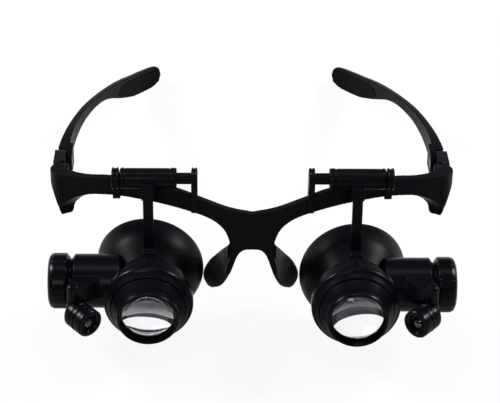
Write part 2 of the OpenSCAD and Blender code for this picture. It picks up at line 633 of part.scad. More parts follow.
// Height of a lens's face over its edge at the spacer ring's inner edge
function bulge(rc) = sqrt(rc * rc - pow(lens_r - spacer_t, 2)) - sqrt(rc * rc - lens_r * lens_r);
module spacer_ring() {
    low = lens_stop + rear_edge + bulge(lens_curve * 1.6);
    color("#101013") on_loupe() translate([0, 0, low]) difference() {
        cylinder(r = lens_r, h = front_stop - bulge(rear_curve) - low);
        translate([0, 0, -1]) cylinder(r = lens_r - spacer_t, h = far);
    }
}
module rear_lens() {
    color("#cfd6e0", 0.5) on_loupe() rotate_extrude()
        polygon(concat([[0, lens_stop]], [[lens_r, lens_stop]],
            lens_face(lens_r, lens_curve * 1.6, lens_stop + rear_edge, 1)));
}

// Lamp head with the column that hangs under the lug
module lamp_head() {
    color("#131316") difference() {
        union() {
            on_lamp() rotate_extrude() polygon([[0, bezel_l], [head_r, bezel_l], [head_r, 3.6], [head_r - 0.4, 3.8],
                [head_r - 0.4, 4.2], [head_r, 4.4], [head_r, 5.8], [head_r - 0.4, 6], [head_r - 0.4, 6.4],
                [head_r - 0.1, 6.6], [head_r - 0.2, 9.2], [head_r - 1.7, head_l], [0, head_l]]);
            translate([pivot_x, -pivot_y, head_z]) cylinder(r = lug_r, h = lug_low - gap - head_z);
        }
        on_lamp() translate([0, 0, bezel_l - 1]) cylinder(r = led_r + 0.45, h = diode_back + diode_foot - bezel_l + 1);
        translate([pivot_x, -pivot_y, lug_low - pin_seat]) cylinder(r = lamp_pin_r, h = pin_seat + 1);
    }
}
module lamp_bezel() {
    color("#1a1a1e") on_lamp() rotate_extrude() polygon([[led_r + 0.3, bezel_l], [led_r + 0.3, 0.9], [led_r + 1, 0],
        [head_r - 0.4, 0], [head_r, 0.4], [head_r, bezel_l]]);
}
module lamp_pin() {
    color("#101012") translate([pivot_x, -pivot_y, 0]) union() {
        translate([0, 0, lug_low - pin_seat]) cylinder(r = lamp_pin_r, h = lug_top - lug_low + pin_seat + 0.2);
        translate([0, 0, lug_top + 0.1]) rotate_extrude() polygon([[0, 0], [2.3, 0], [2.1, 0.5], [1.5, 0.9], [0, 1.1]]);
    }
}
module diode() {
    color("#e8edf5", 0.7) on_lamp() {
        rotate_extrude() polygon(concat([[0, diode_back + diode_foot], [led_r + 0.4, diode_back + diode_foot],
            [led_r + 0.4, diode_back], [led_r, diode_back]],
            arc([0, led_r + 0.3], led_r, 0, -90, 10)));
    }
}

front_frame();
side(-1) fold_pin();  // left_fold_pin
side(1) fold_pin();  // right_fold_pin
side(-1) hinge_block();  // left_hinge_block
side(1) hinge_block();  // right_hinge_block
side(-1) tilt_screw();  // left_tilt_screw
side(1) tilt_screw();  // right_tilt_screw
side(-1) temple_arm();  // left_temple_arm
side(1) temple_arm();  // right_temple_arm
side(-1) temple_pad();  // left_temple_pad
side(1) temple_pad();  // right_temple_pad
side(-1) outer_clip();  // left_outer_clip
side(1) outer_clip();  // right_outer_clip
side(-1) inner_clip();  // left_inner_clip
side(1) inner_clip();  // right_inner_clip
hung(-1) axle_rod();  // left_axle_rod
hung(1) axle_rod();  // right_axle_rod
hung(-1) sleeve();  // left_sleeve
hung(1) sleeve();  // right_sleeve
hung(-1) stem();  // left_stem
hung(1) stem();  // right_stem
hung(-1) eyecup();  // left_eyecup
hung(1) eyecup();  // right_eyecup
hung(-1) collar();  // left_collar
hung(1) collar();  // right_collar
hung(-1) battery_cap();  // left_battery_cap
hung(1) battery_cap();  // right_battery_cap
hung(-1) button_cells();  // left_button_cells
hung(1) button_cells();  // right_button_cells
hung(-1) contact_spring();  // left_contact_spring
hung(1) contact_spring();  // right_contact_spring
hung(-1) contact_plate();  // left_contact_plate
hung(1) contact_plate();  // right_contact_plate
hung(-1) lens_tube();  // left_lens_tube
hung(1) lens_tube();  // right_lens_tube
hung(-1) retaining_ring();  // left_retaining_ring
hung(1) retaining_ring();  // right_retaining_ring
hung(-1) front_lens();  // left_front_lens
hung(1) front_lens();  // right_front_lens
hung(-1) spacer_ring();  // left_spacer_ring
hung(1) spacer_ring();  // right_spacer_ring
hung(-1) rear_lens();  // left_rear_lens
hung(1) rear_lens();  // right_rear_lens
hung(-1) lamp_head();  // left_lamp_head
hung(1) lamp_head();  // right_lamp_head
hung(-1) lamp_bezel();  // left_lamp_bezel
hung(1) lamp_bezel();  // right_lamp_bezel
hung(-1) lamp_pin();  // left_lamp_pin
hung(1) lamp_pin();  // right_lamp_pin
hung(-1) diode();  // left_diode
hung(1) diode();  // right_diode
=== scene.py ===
"""Binocular head magnifier: the shapes, finishes and light of the dressed part.

The part is drawn as worn, with the loupe axes level, in millimetres: X to the wearer's side,
Y backwards from the bridge, Z up from the loupe axes. Placing matrices bring each piece to the
table frame in metres. Each side's pieces are drawn at +X and mirrored for the left.
"""
import logging
import math
from dataclasses import dataclass
from enum import Enum
from typing import Callable, Iterable, Optional, Sequence

import bmesh
import bpy
from mathutils import Matrix, Vector


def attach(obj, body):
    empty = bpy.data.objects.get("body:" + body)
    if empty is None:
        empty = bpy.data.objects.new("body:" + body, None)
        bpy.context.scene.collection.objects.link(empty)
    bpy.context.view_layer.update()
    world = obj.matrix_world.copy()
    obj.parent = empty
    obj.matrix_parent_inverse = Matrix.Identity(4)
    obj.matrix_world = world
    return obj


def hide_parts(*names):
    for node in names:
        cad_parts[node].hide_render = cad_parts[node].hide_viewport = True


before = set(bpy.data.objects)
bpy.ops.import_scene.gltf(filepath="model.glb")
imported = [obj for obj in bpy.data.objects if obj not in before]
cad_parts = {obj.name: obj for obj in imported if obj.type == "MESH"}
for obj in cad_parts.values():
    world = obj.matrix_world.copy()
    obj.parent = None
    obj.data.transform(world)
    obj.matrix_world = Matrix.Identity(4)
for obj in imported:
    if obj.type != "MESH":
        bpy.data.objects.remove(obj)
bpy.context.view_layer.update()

log = logging.getLogger("head_magnifier")
Point = tuple[float, float]
Spot = tuple[float, float, float]
Colour = tuple[float, float, float]
Shaper = Callable[[float, float, float], Point]
Solid = bmesh.types.BMesh
Dye = bpy.types.Material
Thing = bpy.types.Object
Tree = bpy.types.NodeTree
Settings = Optional[dict[str, object]]
MM = 0.001
CREASE = 38.0
GLASS_CREASE = 60.0
MOULD_CREASE = 50.0


class Side(Enum):
    """The wearer's side that a piece belongs to."""

    LEFT = -1
    RIGHT = 1

    @property
    def word(self) -> str:
        """The side's prefix in the names of its pieces."""
        return self.name.lower()


# ---------------------------------------------------------------- placing

@dataclass(frozen=True)
class Rest:
    """How the worn frame lies on the table.

    Args:
        pitch: tip of the whole part, in degrees.
        middle: shift back of the origin along the table.
        lift: height of the worn origin over the table.
        rod_z: height of the axle rods, about which the left loupe is swung.
        swing: swing of the left loupe towards the face, in degrees.
    """

    pitch: float = 12.3724
    middle: float = 61.7385
    lift: float = 22.1957
    rod_z: float = 44.8
    swing: float = 4.5

    def worn(self, side: Side, spot: Spot = (0, 0, 0)) -> Matrix:
        """Matrix from the worn frame in millimetres to the table frame in metres.

        Args:
            side: side whose pieces are placed; the left is mirrored.
            spot: place of the origin in the worn frame.

        Returns:
            The placing matrix.
        """
        table = Matrix.Scale(MM, 4) @ shifted(0, -self.middle, self.lift) @ turned(-self.pitch, "X")
        return table @ Matrix.Scale(side.value, 4, (1, 0, 0)) @ shifted(*spot)

    def hung(self, side: Side, spot: Spot = (0, 0, 0)) -> Matrix:
        """Placing matrix of what hangs from the axle rod, with the left side swung back a little.

        Args:
            side: side whose pieces are placed.
            spot: place of the origin in the worn frame, before the swing.

        Returns:
            The placing matrix.
        """
        swing = turned(self.swing if side is Side.LEFT else 0.0, "X") @ shifted(0, 0, -self.rod_z)
        return self.worn(side, (0, 0, self.rod_z)) @ swing @ shifted(*spot)


REST = Rest()


def turned(angle: float, axis: str) -> Matrix:
    """Rotation matrix for an angle in degrees about a named axis."""
    return Matrix.Rotation(math.radians(angle), 4, axis)


def shifted(x: float, y: float, z: float) -> Matrix:
    """Matrix that moves by a distance along each axis."""
    return Matrix.Translation((x, y, z))


def ray(angle: float) -> Point:
    """Cosine and sine of an angle in degrees."""
    return math.cos(math.radians(angle)), math.sin(math.radians(angle))


def placed(name: str, data: bpy.types.ID) -> Thing:
    """New object in the scene that shows some data.

    Args:
        name: the object's name.
        data: its mesh, camera or lamp.

    Returns:
        The object.
    """
    obj = bpy.data.objects.new(name, data)
    bpy.context.scene.collection.objects.link(obj)
    return obj


# ---------------------------------------------------------------- shader building

class Value:
    """A socket in a node tree, with arithmetic that adds the nodes it needs."""

    def __init__(self, tree: Tree, socket: bpy.types.NodeSocket) -> None:
        """Wraps one output socket of a tree."""
        self.tree = tree
        self.socket = socket

    def _maths(self, operation: str, *terms: "Value | float") -> "Value":
        """Adds one Math node.

        Args:
            operation: the Math node's operation.
            terms: its inputs in order.

        Returns:
            The node's result.
        """
        node = add_node(self.tree, "ShaderNodeMath", {"operation": operation})
        for socket, term in zip(node.inputs, terms):
            feed(self.tree, socket, term)
        return Value(self.tree, node.outputs[0])

    def __add__(self, other: "Value | float") -> "Value":
        """This value plus another."""
        return self._maths("ADD", self, other)

    def __sub__(self, other: "Value | float") -> "Value":
        """This value minus another."""
        return self._maths("SUBTRACT", self, other)

    def __rsub__(self, other: "Value | float") -> "Value":
        """Another value minus this one."""
        return self._maths("SUBTRACT", other, self)

    def __mul__(self, other: "Value | float") -> "Value":
        """This value times another."""
        return self._maths("MULTIPLY", self, other)

    __radd__ = __add__
    __rmul__ = __mul__

    def largest(self, other: "Value | float") -> "Value":
        """The larger of this value and another."""
        return self._maths("MAXIMUM", self, other)

    def ranged(self, low: float, high: float, to_low: float, to_high: float) -> "Value":
        """This value moved from one range to another, held at the ends.

        Args:
            low: start of the range it comes in.
            high: end of that range.
            to_low: what the start becomes.
            to_high: what the end becomes.

        Returns:
            The moved value.
        """
        node = add_node(self.tree, "ShaderNodeMapRange", Value=self, From_Min=low, From_Max=high,
                        To_Min=to_low, To_Max=to_high)
        return Value(self.tree, node.outputs["Result"])


def feed(tree: Tree, socket: bpy.types.NodeSocket, given: object) -> None:
    """Links an input to a Value or a socket, or sets it to anything else.

    Args:
        tree: the node tree.
        socket: the input.
        given: what it gets.
    """
    source = given.socket if isinstance(given, Value) else given
    if isinstance(source, bpy.types.NodeSocket):
        tree.links.new(source, socket)
    else:
        socket.default_value = source


def add_node(tree: Tree, kind: str, settings: Settings = None,
             **inputs: object) -> bpy.types.Node:
    """Adds any node to a tree.

    Args:
        tree: the tree.
        kind: the node's full type name.
        settings: properties of the node.
        inputs: values, Values or sockets for its inputs, with underscores for blanks.

    Returns:
        The node.
    """
    node = tree.nodes.new(kind)
    for name, setting in (settings or {}).items():
        setattr(node, name, setting)
    for name, given in inputs.items():
        feed(tree, node.inputs[name.replace("_", " ")], given)
    return node


class Paint:
    """A material under construction around one Principled shader."""

    def __init__(self, name: str) -> None:
        """Starts an empty material.

        Args:
            name: the material's name.
        """
        self.material = bpy.data.materials.new(name)
        self.material.use_nodes = True
        self.tree = self.material.node_tree
        self.tree.nodes.clear()
        self.shader = add_node(self.tree, "ShaderNodeBsdfPrincipled")
        self.out = add_node(self.tree, "ShaderNodeOutputMaterial", Surface=self.shader.outputs[0])
        self.coords = add_node(self.tree, "ShaderNodeTexCoord").outputs["Object"]

    def node(self, kind: str, output: str | int = 0, settings: Settings = None,
             **inputs: object) -> Value:
        """Adds any other node.

        Args:
            kind: the node's type without its ShaderNode prefix.
            output: the output wanted.
            settings: properties of the node.
            inputs: values, Values or sockets for its inputs, with underscores for blanks.

        Returns:
            The wanted output.
        """
        node = add_node(self.tree, "ShaderNode" + kind, settings, **inputs)
        return Value(self.tree, node.outputs[output])

    def noise(self, size: float, detail: float = 2.0, stretch: Spot = (1, 1, 1)) -> Value:
        """Noise about size millimetres across, drawn out along the axes scaled below one."""
        where = self.node("Mapping", Vector=self.coords, Scale=stretch)
        return self.node("TexNoise", Vector=where, Scale=1 / (size * MM), Detail=detail)

    def grain(self, size: float) -> Value:
        """Cellular grain with pits about size millimetres across."""
        return self.node("TexVoronoi", "Distance", {"feature": "SMOOTH_F1"}, Vector=self.coords,
                         Scale=1 / (size * MM))

    def set(self, **sockets: object) -> "Paint":
        """Sets or links the shader's own sockets.

        Args:
            sockets: values or Values by socket name, with underscores for blanks.

        Returns:
            The same material, for the next call.
        """
        for name, given in sockets.items():
            feed(self.tree, self.shader.inputs[name.replace("_", " ")], given)
        return self

    def mixed(self, first: Colour, second: Colour, share: Value) -> Value:
        """Adds the colour mix node.

        Args:
            first: colour where the share is nought.
            second: colour where the share is one.
            share: how much of the second.

        Returns:
            The mixed colour.
        """
        node = add_node(self.tree, "ShaderNodeMix", {"data_type": "RGBA"})
        for slot, given in ((0, share), (6, (*first, 1)), (7, (*second, 1))):
            feed(self.tree, node.inputs[slot], given)
        return Value(self.tree, node.outputs[2])

    def bumped(self, height: Value, depth: float) -> "Paint":
        """Gives the surface relief.

        Args:
            height: the relief, from nought to one.
            depth: its depth in millimetres.

        Returns:
            The same material, for the next call.
        """
        return self.set(Normal=self.node("Bump", Strength=1.0, Distance=depth * MM, Height=height))


# ---------------------------------------------------------------- finishes

def scaled(colour: Colour, factor: float) -> Colour:
    """The colour made lighter or darker."""
    return tuple(c * factor for c in colour)


@dataclass(frozen=True)
class Plastic:
    """Injection-moulded black plastic.

    Args:
        name: the material's name.
        colour: its colour.
        roughness: mean roughness.
        specular: strength of its mirror reflection.
        grain: size of its eroded grain, in millimetres.
        relief: depth of that grain.
        haze: spread of the roughness.
        flow: size of the flow marks left by moulding, in millimetres.
    """

    name: str
    colour: Colour = (0.0013, 0.0012, 0.0022)
    roughness: float = 0.3
    specular: float = 0.045
    grain: float = 0.35
    relief: float = 0.003
    haze: float = 0.05
    flow: float = 14.0

    def make(self) -> Dye:
        """Builds the material.

        Returns:
            A plastic whose colour drifts a little, with flow haze in its gloss and a fine grain.
        """
        paint = Paint(self.name)
        flow, fine = paint.noise(self.flow, 3.0), paint.noise(self.grain, 4.0)
        share = 0.7
        least = self.roughness - self.haze * (1 + share) / 2
        drift = flow.ranged(0.35, 0.7, 0, 1)
        paint.set(Base_Color=paint.mixed(self.colour, scaled(self.colour, 1.5), drift), IOR=1.5,
                  Roughness=(flow + fine * share) * self.haze + least,
                  Specular_IOR_Level=self.specular)
        return paint.bumped(paint.grain(self.grain), self.relief).material


@dataclass(frozen=True)
class Rubber:
    """Soft moulded rubber with a close matt grain.

    Args:
        name: the material's name.
        colour: its colour.
        roughness: least roughness.
        grain: size of its grain, in millimetres.
        relief: depth of that grain.
    """

    name: str = "rubber_inlay"
    colour: Colour = (0.0011, 0.001, 0.0018)
    roughness: float = 0.62
    grain: float = 0.5
    relief: float = 0.02

    def make(self) -> Dye:
        """Builds the material.

        Returns:
            The material.
        """
        paint = Paint(self.name)
        cloud = paint.noise(5.0, 3.0)
        paint.set(Base_Color=paint.mixed(self.colour, scaled(self.colour, 2.0), cloud),
                  Roughness=cloud * 0.1 + self.roughness, Specular_IOR_Level=0.03)
        fine = paint.noise(0.4 * self.grain)
        return paint.bumped(paint.grain(self.grain) + fine * 0.4, self.relief).material


@dataclass(frozen=True)
class Metal:
    """Bright metal with turning or drawing marks.

    Args:
        name: the material's name.
        colour: its colour.
        roughness: mean roughness.
        marks: distance between the marks, in millimetres.
        relief: their depth.
    """

    name: str
    colour: Colour
    roughness: float = 0.28
    marks: float = 0.12
    relief: float = 0.006

    def make(self) -> Dye:
        """Builds the material.

        Returns:
            The material.
        """
        paint = Paint(self.name)
        smear = paint.noise(2.4, 3.0)
        fine = paint.noise(self.marks, 3.0, (0.15, 1, 1))
        tarnish = smear.ranged(0.3, 0.75, 0, 1)
        paint.set(Base_Color=paint.mixed(self.colour, scaled(self.colour, 0.72), tarnish),
                  Metallic=1.0, Roughness=smear * 0.12 + fine * 0.1 + (self.roughness - 0.1))
        return paint.bumped(fine, self.relief).material


@dataclass(frozen=True)
class Glass:
    """Clear optical glass or resin.

    Args:
        name: the material's name.
        colour: tint of what passes through.
        index: refractive index.
        roughness: mean roughness.
        glint: tint of its coated faces' reflection.
    """

    name: str
    colour: Colour = (0.985, 0.985, 0.99)
    index: float = 1.52
    roughness: float = 0.02
    glint: Colour = (0.34, 0.3, 0.42)

    def make(self) -> Dye:
        """Builds the material, with a breath of dust on its faces.

        Returns:
            The material.
        """
        paint = Paint(self.name)
        dust = paint.noise(0.9, 4.0)
        film = dust.ranged(0.55, 0.8, 0, 1)
        paint.set(Base_Color=paint.mixed(self.colour, scaled(self.colour, 0.96), film),
                  Transmission_Weight=1.0, IOR=self.index, Specular_Tint=(*self.glint, 1),
                  Roughness=dust.ranged(0.5, 0.85, self.roughness, self.roughness + 0.03))
        return paint.material


@dataclass(frozen=True)
class Glow:
    """Pale phosphor behind the clear dome of a diode.

    Args:
        name: the material's name.
        colour: its colour.
        paler: colour of its pale clouds.
    """

    name: str = "diode_phosphor"
    colour: Colour = (0.85, 0.86, 0.72)
    paler: Colour = (0.92, 0.93, 0.9)

    def make(self) -> Dye:
        """Builds the material.

        Returns:
            The material.
        """
        paint = Paint(self.name)
        cloud = paint.noise(0.4)
        paint.set(Base_Color=paint.mixed(self.colour, self.paler, cloud),
                  Roughness=cloud * 0.2 + 0.35)
        return paint.material


class Finishes:
    """Every finish of the part, made once."""

    def __init__(self) -> None:
        """Builds all the materials."""
        self.frame = Plastic("frame_black", roughness=0.38, grain=0.3).make()
        self.temple = Plastic("temple_black", roughness=0.42, specular=0.022, grain=0.3).make()
        self.hinge = Plastic("hinge_black", roughness=0.36, specular=0.12, grain=0.3).make()
        self.clip = Plastic("clip_black", roughness=0.34, grain=0.25).make()
        self.cup = Plastic("eyecup_black", roughness=0.42, grain=0.6, relief=0.002).make()
        self.housing = Plastic("housing_black", roughness=0.28, specular=0.055, grain=0.5,
                               relief=0.002).make()
        self.core = Plastic("polished_core_black", colour=(0.004, 0.004, 0.006), roughness=0.16,
                            specular=0.5, grain=0.8, relief=0.001, haze=0.03).make()
        self.rubber = Rubber().make()
        self.steel = Metal("bright_steel", (0.56, 0.57, 0.58)).make()
        self.dark_steel = Metal("blackened_steel", (0.09, 0.09, 0.1), roughness=0.34).make()
        self.cell = Metal("cell_nickel", (0.66, 0.65, 0.62), roughness=0.2, marks=0.3).make()
        self.brass = Metal("contact_brass", (0.78, 0.57, 0.28), roughness=0.3).make()
        self.lens = Glass("lens_glass", colour=(0.97, 0.97, 0.985)).make()
        self.diode = Glass("diode_resin", colour=(0.97, 0.98, 1.0), index=1.5,
                           glint=(1, 1, 1)).make()
        self.phosphor = Glow().make()


# ---------------------------------------------------------------- mesh tools

def softened(points: Sequence[tuple[float, ...]], steps: int = 4) -> list[Point]:
    """Rounds the corners of an open outline.

    Args:
        points: corners as (radius, station), or (radius, station, fillet) to round one.
        steps: pieces in each rounded corner.

    Returns:
        The outline with an arc in place of each corner that has a fillet.
    """
    out: list[Point] = []
    for i, point in enumerate(points):
        fillet = point[2] if len(point) > 2 else 0.0
        here = Vector(point[:2])
        if not fillet or i in (0, len(points) - 1):
            out.append((here.x, here.y))
            continue
        before, after = (Vector(points[j][:2]) - here for j in (i - 1, i + 1))
        angle = before.angle(after)
        reach = min(fillet / math.tan(angle / 2), before.length * 0.49, after.length * 0.49)
        start, end = here + before.normalized() * reach, here + after.normalized() * reach
        for j in range(steps + 1):
            t = j / steps
            p = start * (1 - t) ** 2 + here * 2 * t * (1 - t) + end * t ** 2
            out.append((p.x, p.y))
    return out


def on_curve(knots: Sequence[Sequence[float]], at: float) -> Vector:
    """Point of the smooth curve through a row of knots.

    Args:
        knots: the points that it passes.
        at: place on the curve, counted in knots from the first.

    Returns:
        The point.
    """
    last = len(knots) - 1
    i = min(int(at), last - 1)
    t = at - i
    a, b, c, d = (Vector(knots[j]) for j in (max(i - 1, 0), i, i + 1, min(i + 2, last)))
    bend, twist = 2 * a - 5 * b + 4 * c - d, 3 * b - a - 3 * c + d
    return b + 0.5 * ((c - a) * t + bend * t ** 2 + twist * t ** 3)


def skin(bm: Solid, loops: Sequence[Sequence[bmesh.types.BMVert]]) -> None:
    """Joins each closed loop of vertices to the next by a belt of faces.

    Args:
        bm: the mesh.
        loops: the loops, with as many vertices each.
    """
    for low, high in zip(loops, loops[1:]):
        for k in range(len(low)):
            n = (k + 1) % len(low)
            bm.faces.new((low[k], low[n], high[n], high[k]))


def lathe(profile: Sequence[tuple[float, ...]], place: Matrix, steps: int = 144,
          shaper: Optional[Shaper] = None, closed: bool = False) -> Solid:
    """Turns an outline about Z into a closed shell.

    Args:
        profile: corners as (radius, station), or (radius, station, fillet) to round one.
        place: matrix that puts the turned shape in the table frame.
        steps: divisions round the axis.
        shaper: changes (radius, station) at an angle in degrees, for rims and flutes.
        closed: joins the outline's end to its start, for a ring.

    Returns:
        The turned mesh.
    """
    bm = bmesh.new()
    rings: list[list[bmesh.types.BMVert]] = []
    for r, s in softened(profile):
        ring = []
        for k in range(steps):
            angle = 360.0 * k / steps
            radius, station = shaper(r, s, angle) if shaper else (r, s)
            across, up = ray(angle)
            ring.append(bm.verts.new((radius * across, radius * up, station)))
        rings.append(ring)
    skin(bm, rings + rings[:1] if closed else rings)
    if not closed:
        for ring in (rings[0], rings[-1]):
            if max(v.co.xy.length for v in ring) > 1e-6:
                bm.faces.new(ring)
    return settled(bm, place)


def settled(bm: Solid, place: Matrix) -> Solid:
    """Merges doubles, turns the faces outwards and moves the mesh to its place.

    Args:
        bm: the mesh.
        place: matrix that puts it in the table frame.

    Returns:
        The same mesh.
    """
    bmesh.ops.remove_doubles(bm, verts=bm.verts, dist=1e-4)
    bmesh.ops.dissolve_degenerate(bm, edges=bm.edges, dist=1e-5)
    bm.transform(place)
    bm.normal_update()
    bmesh.ops.recalc_face_normals(bm, faces=bm.faces)
    if bm.calc_volume(signed=True) < 0:
        bmesh.ops.reverse_faces(bm, faces=bm.faces)
    return bm


def block(low: Sequence[float], high: Sequence[float], place: Matrix,
          round_by: float) -> Solid:
    """Block with rounded edges.

    Args:
        low: its low corner.
        high: its high corner.
        place: matrix that puts it in the table frame.
        round_by: radius of its edges.

    Returns:
        The solid mesh.
    """
    bm = bmesh.new()
    bmesh.ops.create_cube(bm, size=1.0)
    for vert in bm.verts:
        vert.co = [a if c < 0 else b for a, b, c in zip(low, high, vert.co)]
    bmesh.ops.bevel(bm, geom=bm.edges[:], offset=round_by, segments=3, profile=0.5, affect="EDGES",
                    clamp_overlap=True)
    return settled(bm, place)


def curved_plate(inner: Sequence[Spot], outer: Sequence[Spot], radius: float, place: Matrix,
                 rows: int = 44, columns: int = 12) -> Solid:
    """Plate with round edges, stretched between two curves.

    Args:
        inner: knots of one edge.
        outer: knots of the other edge.
        radius: half the plate's thickness.
        place: matrix that puts it in the table frame.
        rows: sections along the plate.
        columns: divisions across it.

    Returns:
        The solid mesh.
    """
    def at(share: float) -> tuple[Vector, Vector]:
        """Points of both edges at a share of the way along."""
        return tuple(on_curve(knots, share * (len(knots) - 1)) for knots in (inner, outer))

    bm = bmesh.new()
    loops = []
    step, round_end, round_side = 0.02, (0.5, 0.87, 0.98), (0.5, 0.87, 1.0)
    for share, over in [(i / rows, 0.0) for i in range(rows + 1)] + [(1.0, k) for k in round_end]:
        (near, far), start, end = at(share), at(max(share - step, 0.0)), at(max(share, step))
        across, ahead = far - near, end[0] + end[1] - start[0] - start[1]
        width, across = across.length, across.normalized()
        ahead = (ahead - ahead.project(across)).normalized()
        up = across.cross(ahead)
        spots = [(-radius * k, k) for k in reversed(round_side)]
        spots += [(width * j / columns, 0.0) for j in range(columns + 1)]
        spots += [(width + radius * k, k) for k in round_side]
        top, bottom = [], []
        for shift, beyond in spots:
            half = radius * math.sqrt(max((1 - beyond ** 2) * (1 - over ** 2), 0.0))
            drawn_in = 1 - 0.3 * over if beyond else 1
            spot = near + across * shift * drawn_in + ahead * (radius * over)
            top.append(bm.verts.new(spot + up * half))
            bottom.append(bm.verts.new(spot - up * half))
        loops.append(top + bottom[::-1])
    skin(bm, loops)
    bm.faces.new(loops[0])
    bm.faces.new(loops[-1])
    return settled(bm, place)


def cut_back(bm: Solid, near: Sequence[bmesh.types.BMFace], point: Vector,
             normal: Vector) -> None:
    """Cuts off what lies beyond a plane and closes the opening.

    Args:
        bm: the mesh.
        near: the faces that may be cut.
        point: a point of the plane.
        normal: the side of the plane that is cut off.
    """
    geom = list({*near, *(e for f in near for e in f.edges), *(v for f in near for v in f.verts)})
    cut = bmesh.ops.bisect_plane(bm, geom=geom, plane_co=point, plane_no=normal, clear_outer=True)
    rim = [e for e in cut["geom_cut"] if isinstance(e, bmesh.types.BMEdge) and e.is_boundary]
    bmesh.ops.holes_fill(bm, edges=rim, sides=0)


def take_in(whole: Solid, part: Solid) -> None:
    """Moves one mesh into another.

    Args:
        whole: the mesh that grows.
        part: the mesh that is used up.
    """
    mesh = bpy.data.meshes.new("part")
    part.to_mesh(mesh)
    part.free()
    whole.from_mesh(mesh)
    bpy.data.meshes.remove(mesh)


def joined(parts: Iterable[Solid]) -> Solid:
    """Puts several closed shells into one mesh.

    Args:
        parts: the shells, which are used up.

    Returns:
        The mesh of all.
    """
    whole = bmesh.new()
    for part in parts:
        take_in(whole, part)
    return whole


def evaluated(obj: Thing) -> bpy.types.Mesh:
    """The object's mesh with its modifiers applied; the modifiers are removed.

    Args:
        obj: the object.

    Returns:
        Its new mesh.
    """
    bpy.context.view_layer.update()
    graph = bpy.context.evaluated_depsgraph_get()
    mesh = bpy.data.meshes.new_from_object(obj.evaluated_get(graph), depsgraph=graph)
    old = obj.data
    obj.modifiers.clear()
    obj.data = mesh
    bpy.data.meshes.remove(old)
    return mesh


class Build:
    """A Geometry Nodes tree under construction, with named inputs for its sizes."""

    def __init__(self, name: str, sizes: dict[str, float]) -> None:
        """Starts a tree.

        Args:
            name: the tree's name.
            sizes: named inputs with their values, in millimetres or plain numbers.
        """
        self.tree = bpy.data.node_groups.new(name, "GeometryNodeTree")
        face = self.tree.interface
        self.values: dict[str, float] = {}
        for label, number in sizes.items():
            kind = "NodeSocketInt" if isinstance(number, int) else "NodeSocketFloat"
            socket = face.new_socket(name=label, in_out="INPUT", socket_type=kind)
            self.values[socket.identifier] = number
        finish = face.new_socket(name="Finish", in_out="INPUT", socket_type="NodeSocketMaterial")
        self.finish = finish.identifier
        face.new_socket(name="Geometry", in_out="OUTPUT", socket_type="NodeSocketGeometry")
        self.given = self.node("NodeGroupInput")
        self.out = self.node("NodeGroupOutput")

    def size(self, label: str) -> bpy.types.NodeSocket:
        """The socket of a named input."""
        return self.given.outputs[label]

    def circle(self, points: int, label: str) -> bpy.types.NodeSocket:
        """A circle of so many points whose radius is a named input."""
        node = self.node("GeometryNodeCurvePrimitiveCircle", Resolution=points,
                         Radius=self.size(label))
        return node.outputs[0]

    def node(self, kind: str, settings: Settings = None,
             **inputs: object) -> bpy.types.Node:
        """Adds a node.

        Args:
            kind: the node's full type name.
            settings: properties of the node.
            inputs: values or sockets for its inputs, with underscores for blanks.

        Returns:
            The node.
        """
        return add_node(self.tree, kind, settings, **inputs)

    def result(self, geometry: bpy.types.NodeSocket, finish: Dye) -> Solid:
        """Ends the tree and gives the plain mesh that it makes.

        Args:
            geometry: the last geometry socket.
            finish: the material that the tree sets.

        Returns:
            The mesh.
        """
        real = self.node("GeometryNodeRealizeInstances", Geometry=geometry)
        paint = self.node("GeometryNodeSetMaterial", Geometry=real.outputs[0],
                          Material=self.size("Finish"))
        feed(self.tree, self.out.inputs[0], paint.outputs[0])
        holder = placed("holder", bpy.data.meshes.new("holder"))
        modifier = holder.modifiers.new("Build", "NODES")
        modifier.node_group = self.tree
        for ident, given in (*self.values.items(), (self.finish, finish)):
            modifier[ident] = given
        mesh = evaluated(holder)
        bm = bmesh.new()
        bm.from_mesh(mesh)
        bpy.data.objects.remove(holder)
        bpy.data.meshes.remove(mesh)
        return bm


def ring_row(radius: float, wire: float, pitch: float, count: int, place: Matrix,
             finish: Dye) -> Solid:
    """Row of raised rings round the Z axis, made with Geometry Nodes.

    Args:
        radius: radius of the rings' middle line.
        wire: radius of the rings' section.
        pitch: distance between rings.
        count: number of rings.
        place: matrix that puts the row in the table frame.
        finish: the rings' material.

    Returns:
        The rings' mesh.
    """
    tree = Build("ring_row", {"Radius": radius, "Wire": wire, "Pitch": pitch, "Count": count})
    hoop = tree.circle(96, "Radius")
    tube = tree.node("GeometryNodeCurveToMesh", Curve=hoop, Profile_Curve=tree.circle(10, "Wire"))
    step = tree.node("ShaderNodeCombineXYZ", Z=tree.size("Pitch"))
    row = tree.node("GeometryNodeMeshLine", Count=tree.size("Count"), Offset=step.outputs[0])
    many = tree.node("GeometryNodeInstanceOnPoints", Points=row.outputs[0],
                     Instance=tube.outputs[0])
    return settled(tree.result(many.outputs[0], finish), place)


def coil(bottom: float, top: float, height: float, wire: float, turns: float, place: Matrix,
         finish: Dye) -> Solid:
    """Conical coil spring along Z, made with Geometry Nodes.

    Args:
        bottom: radius of the coil's first turn.
        top: radius of its last turn.
        height: height of the spring.
        wire: radius of the wire.
        turns: number of turns.
        place: matrix that puts the spring in the table frame.
        finish: the wire's material.

    Returns:
        The spring's mesh.
    """
    tree = Build("coil", {"Bottom": bottom, "Top": top, "Height": height, "Wire": wire,
                          "Turns": turns})
    path = tree.node("GeometryNodeCurveSpiral", Resolution=28, Rotations=tree.size("Turns"),
                     Start_Radius=tree.size("Bottom"), End_Radius=tree.size("Top"),
                     Height=tree.size("Height"))
    tube = tree.node("GeometryNodeCurveToMesh", Curve=path.outputs[0],
                     Profile_Curve=tree.circle(10, "Wire"), Fill_Caps=True)
    return settled(tree.result(tube.outputs[0], finish), place)


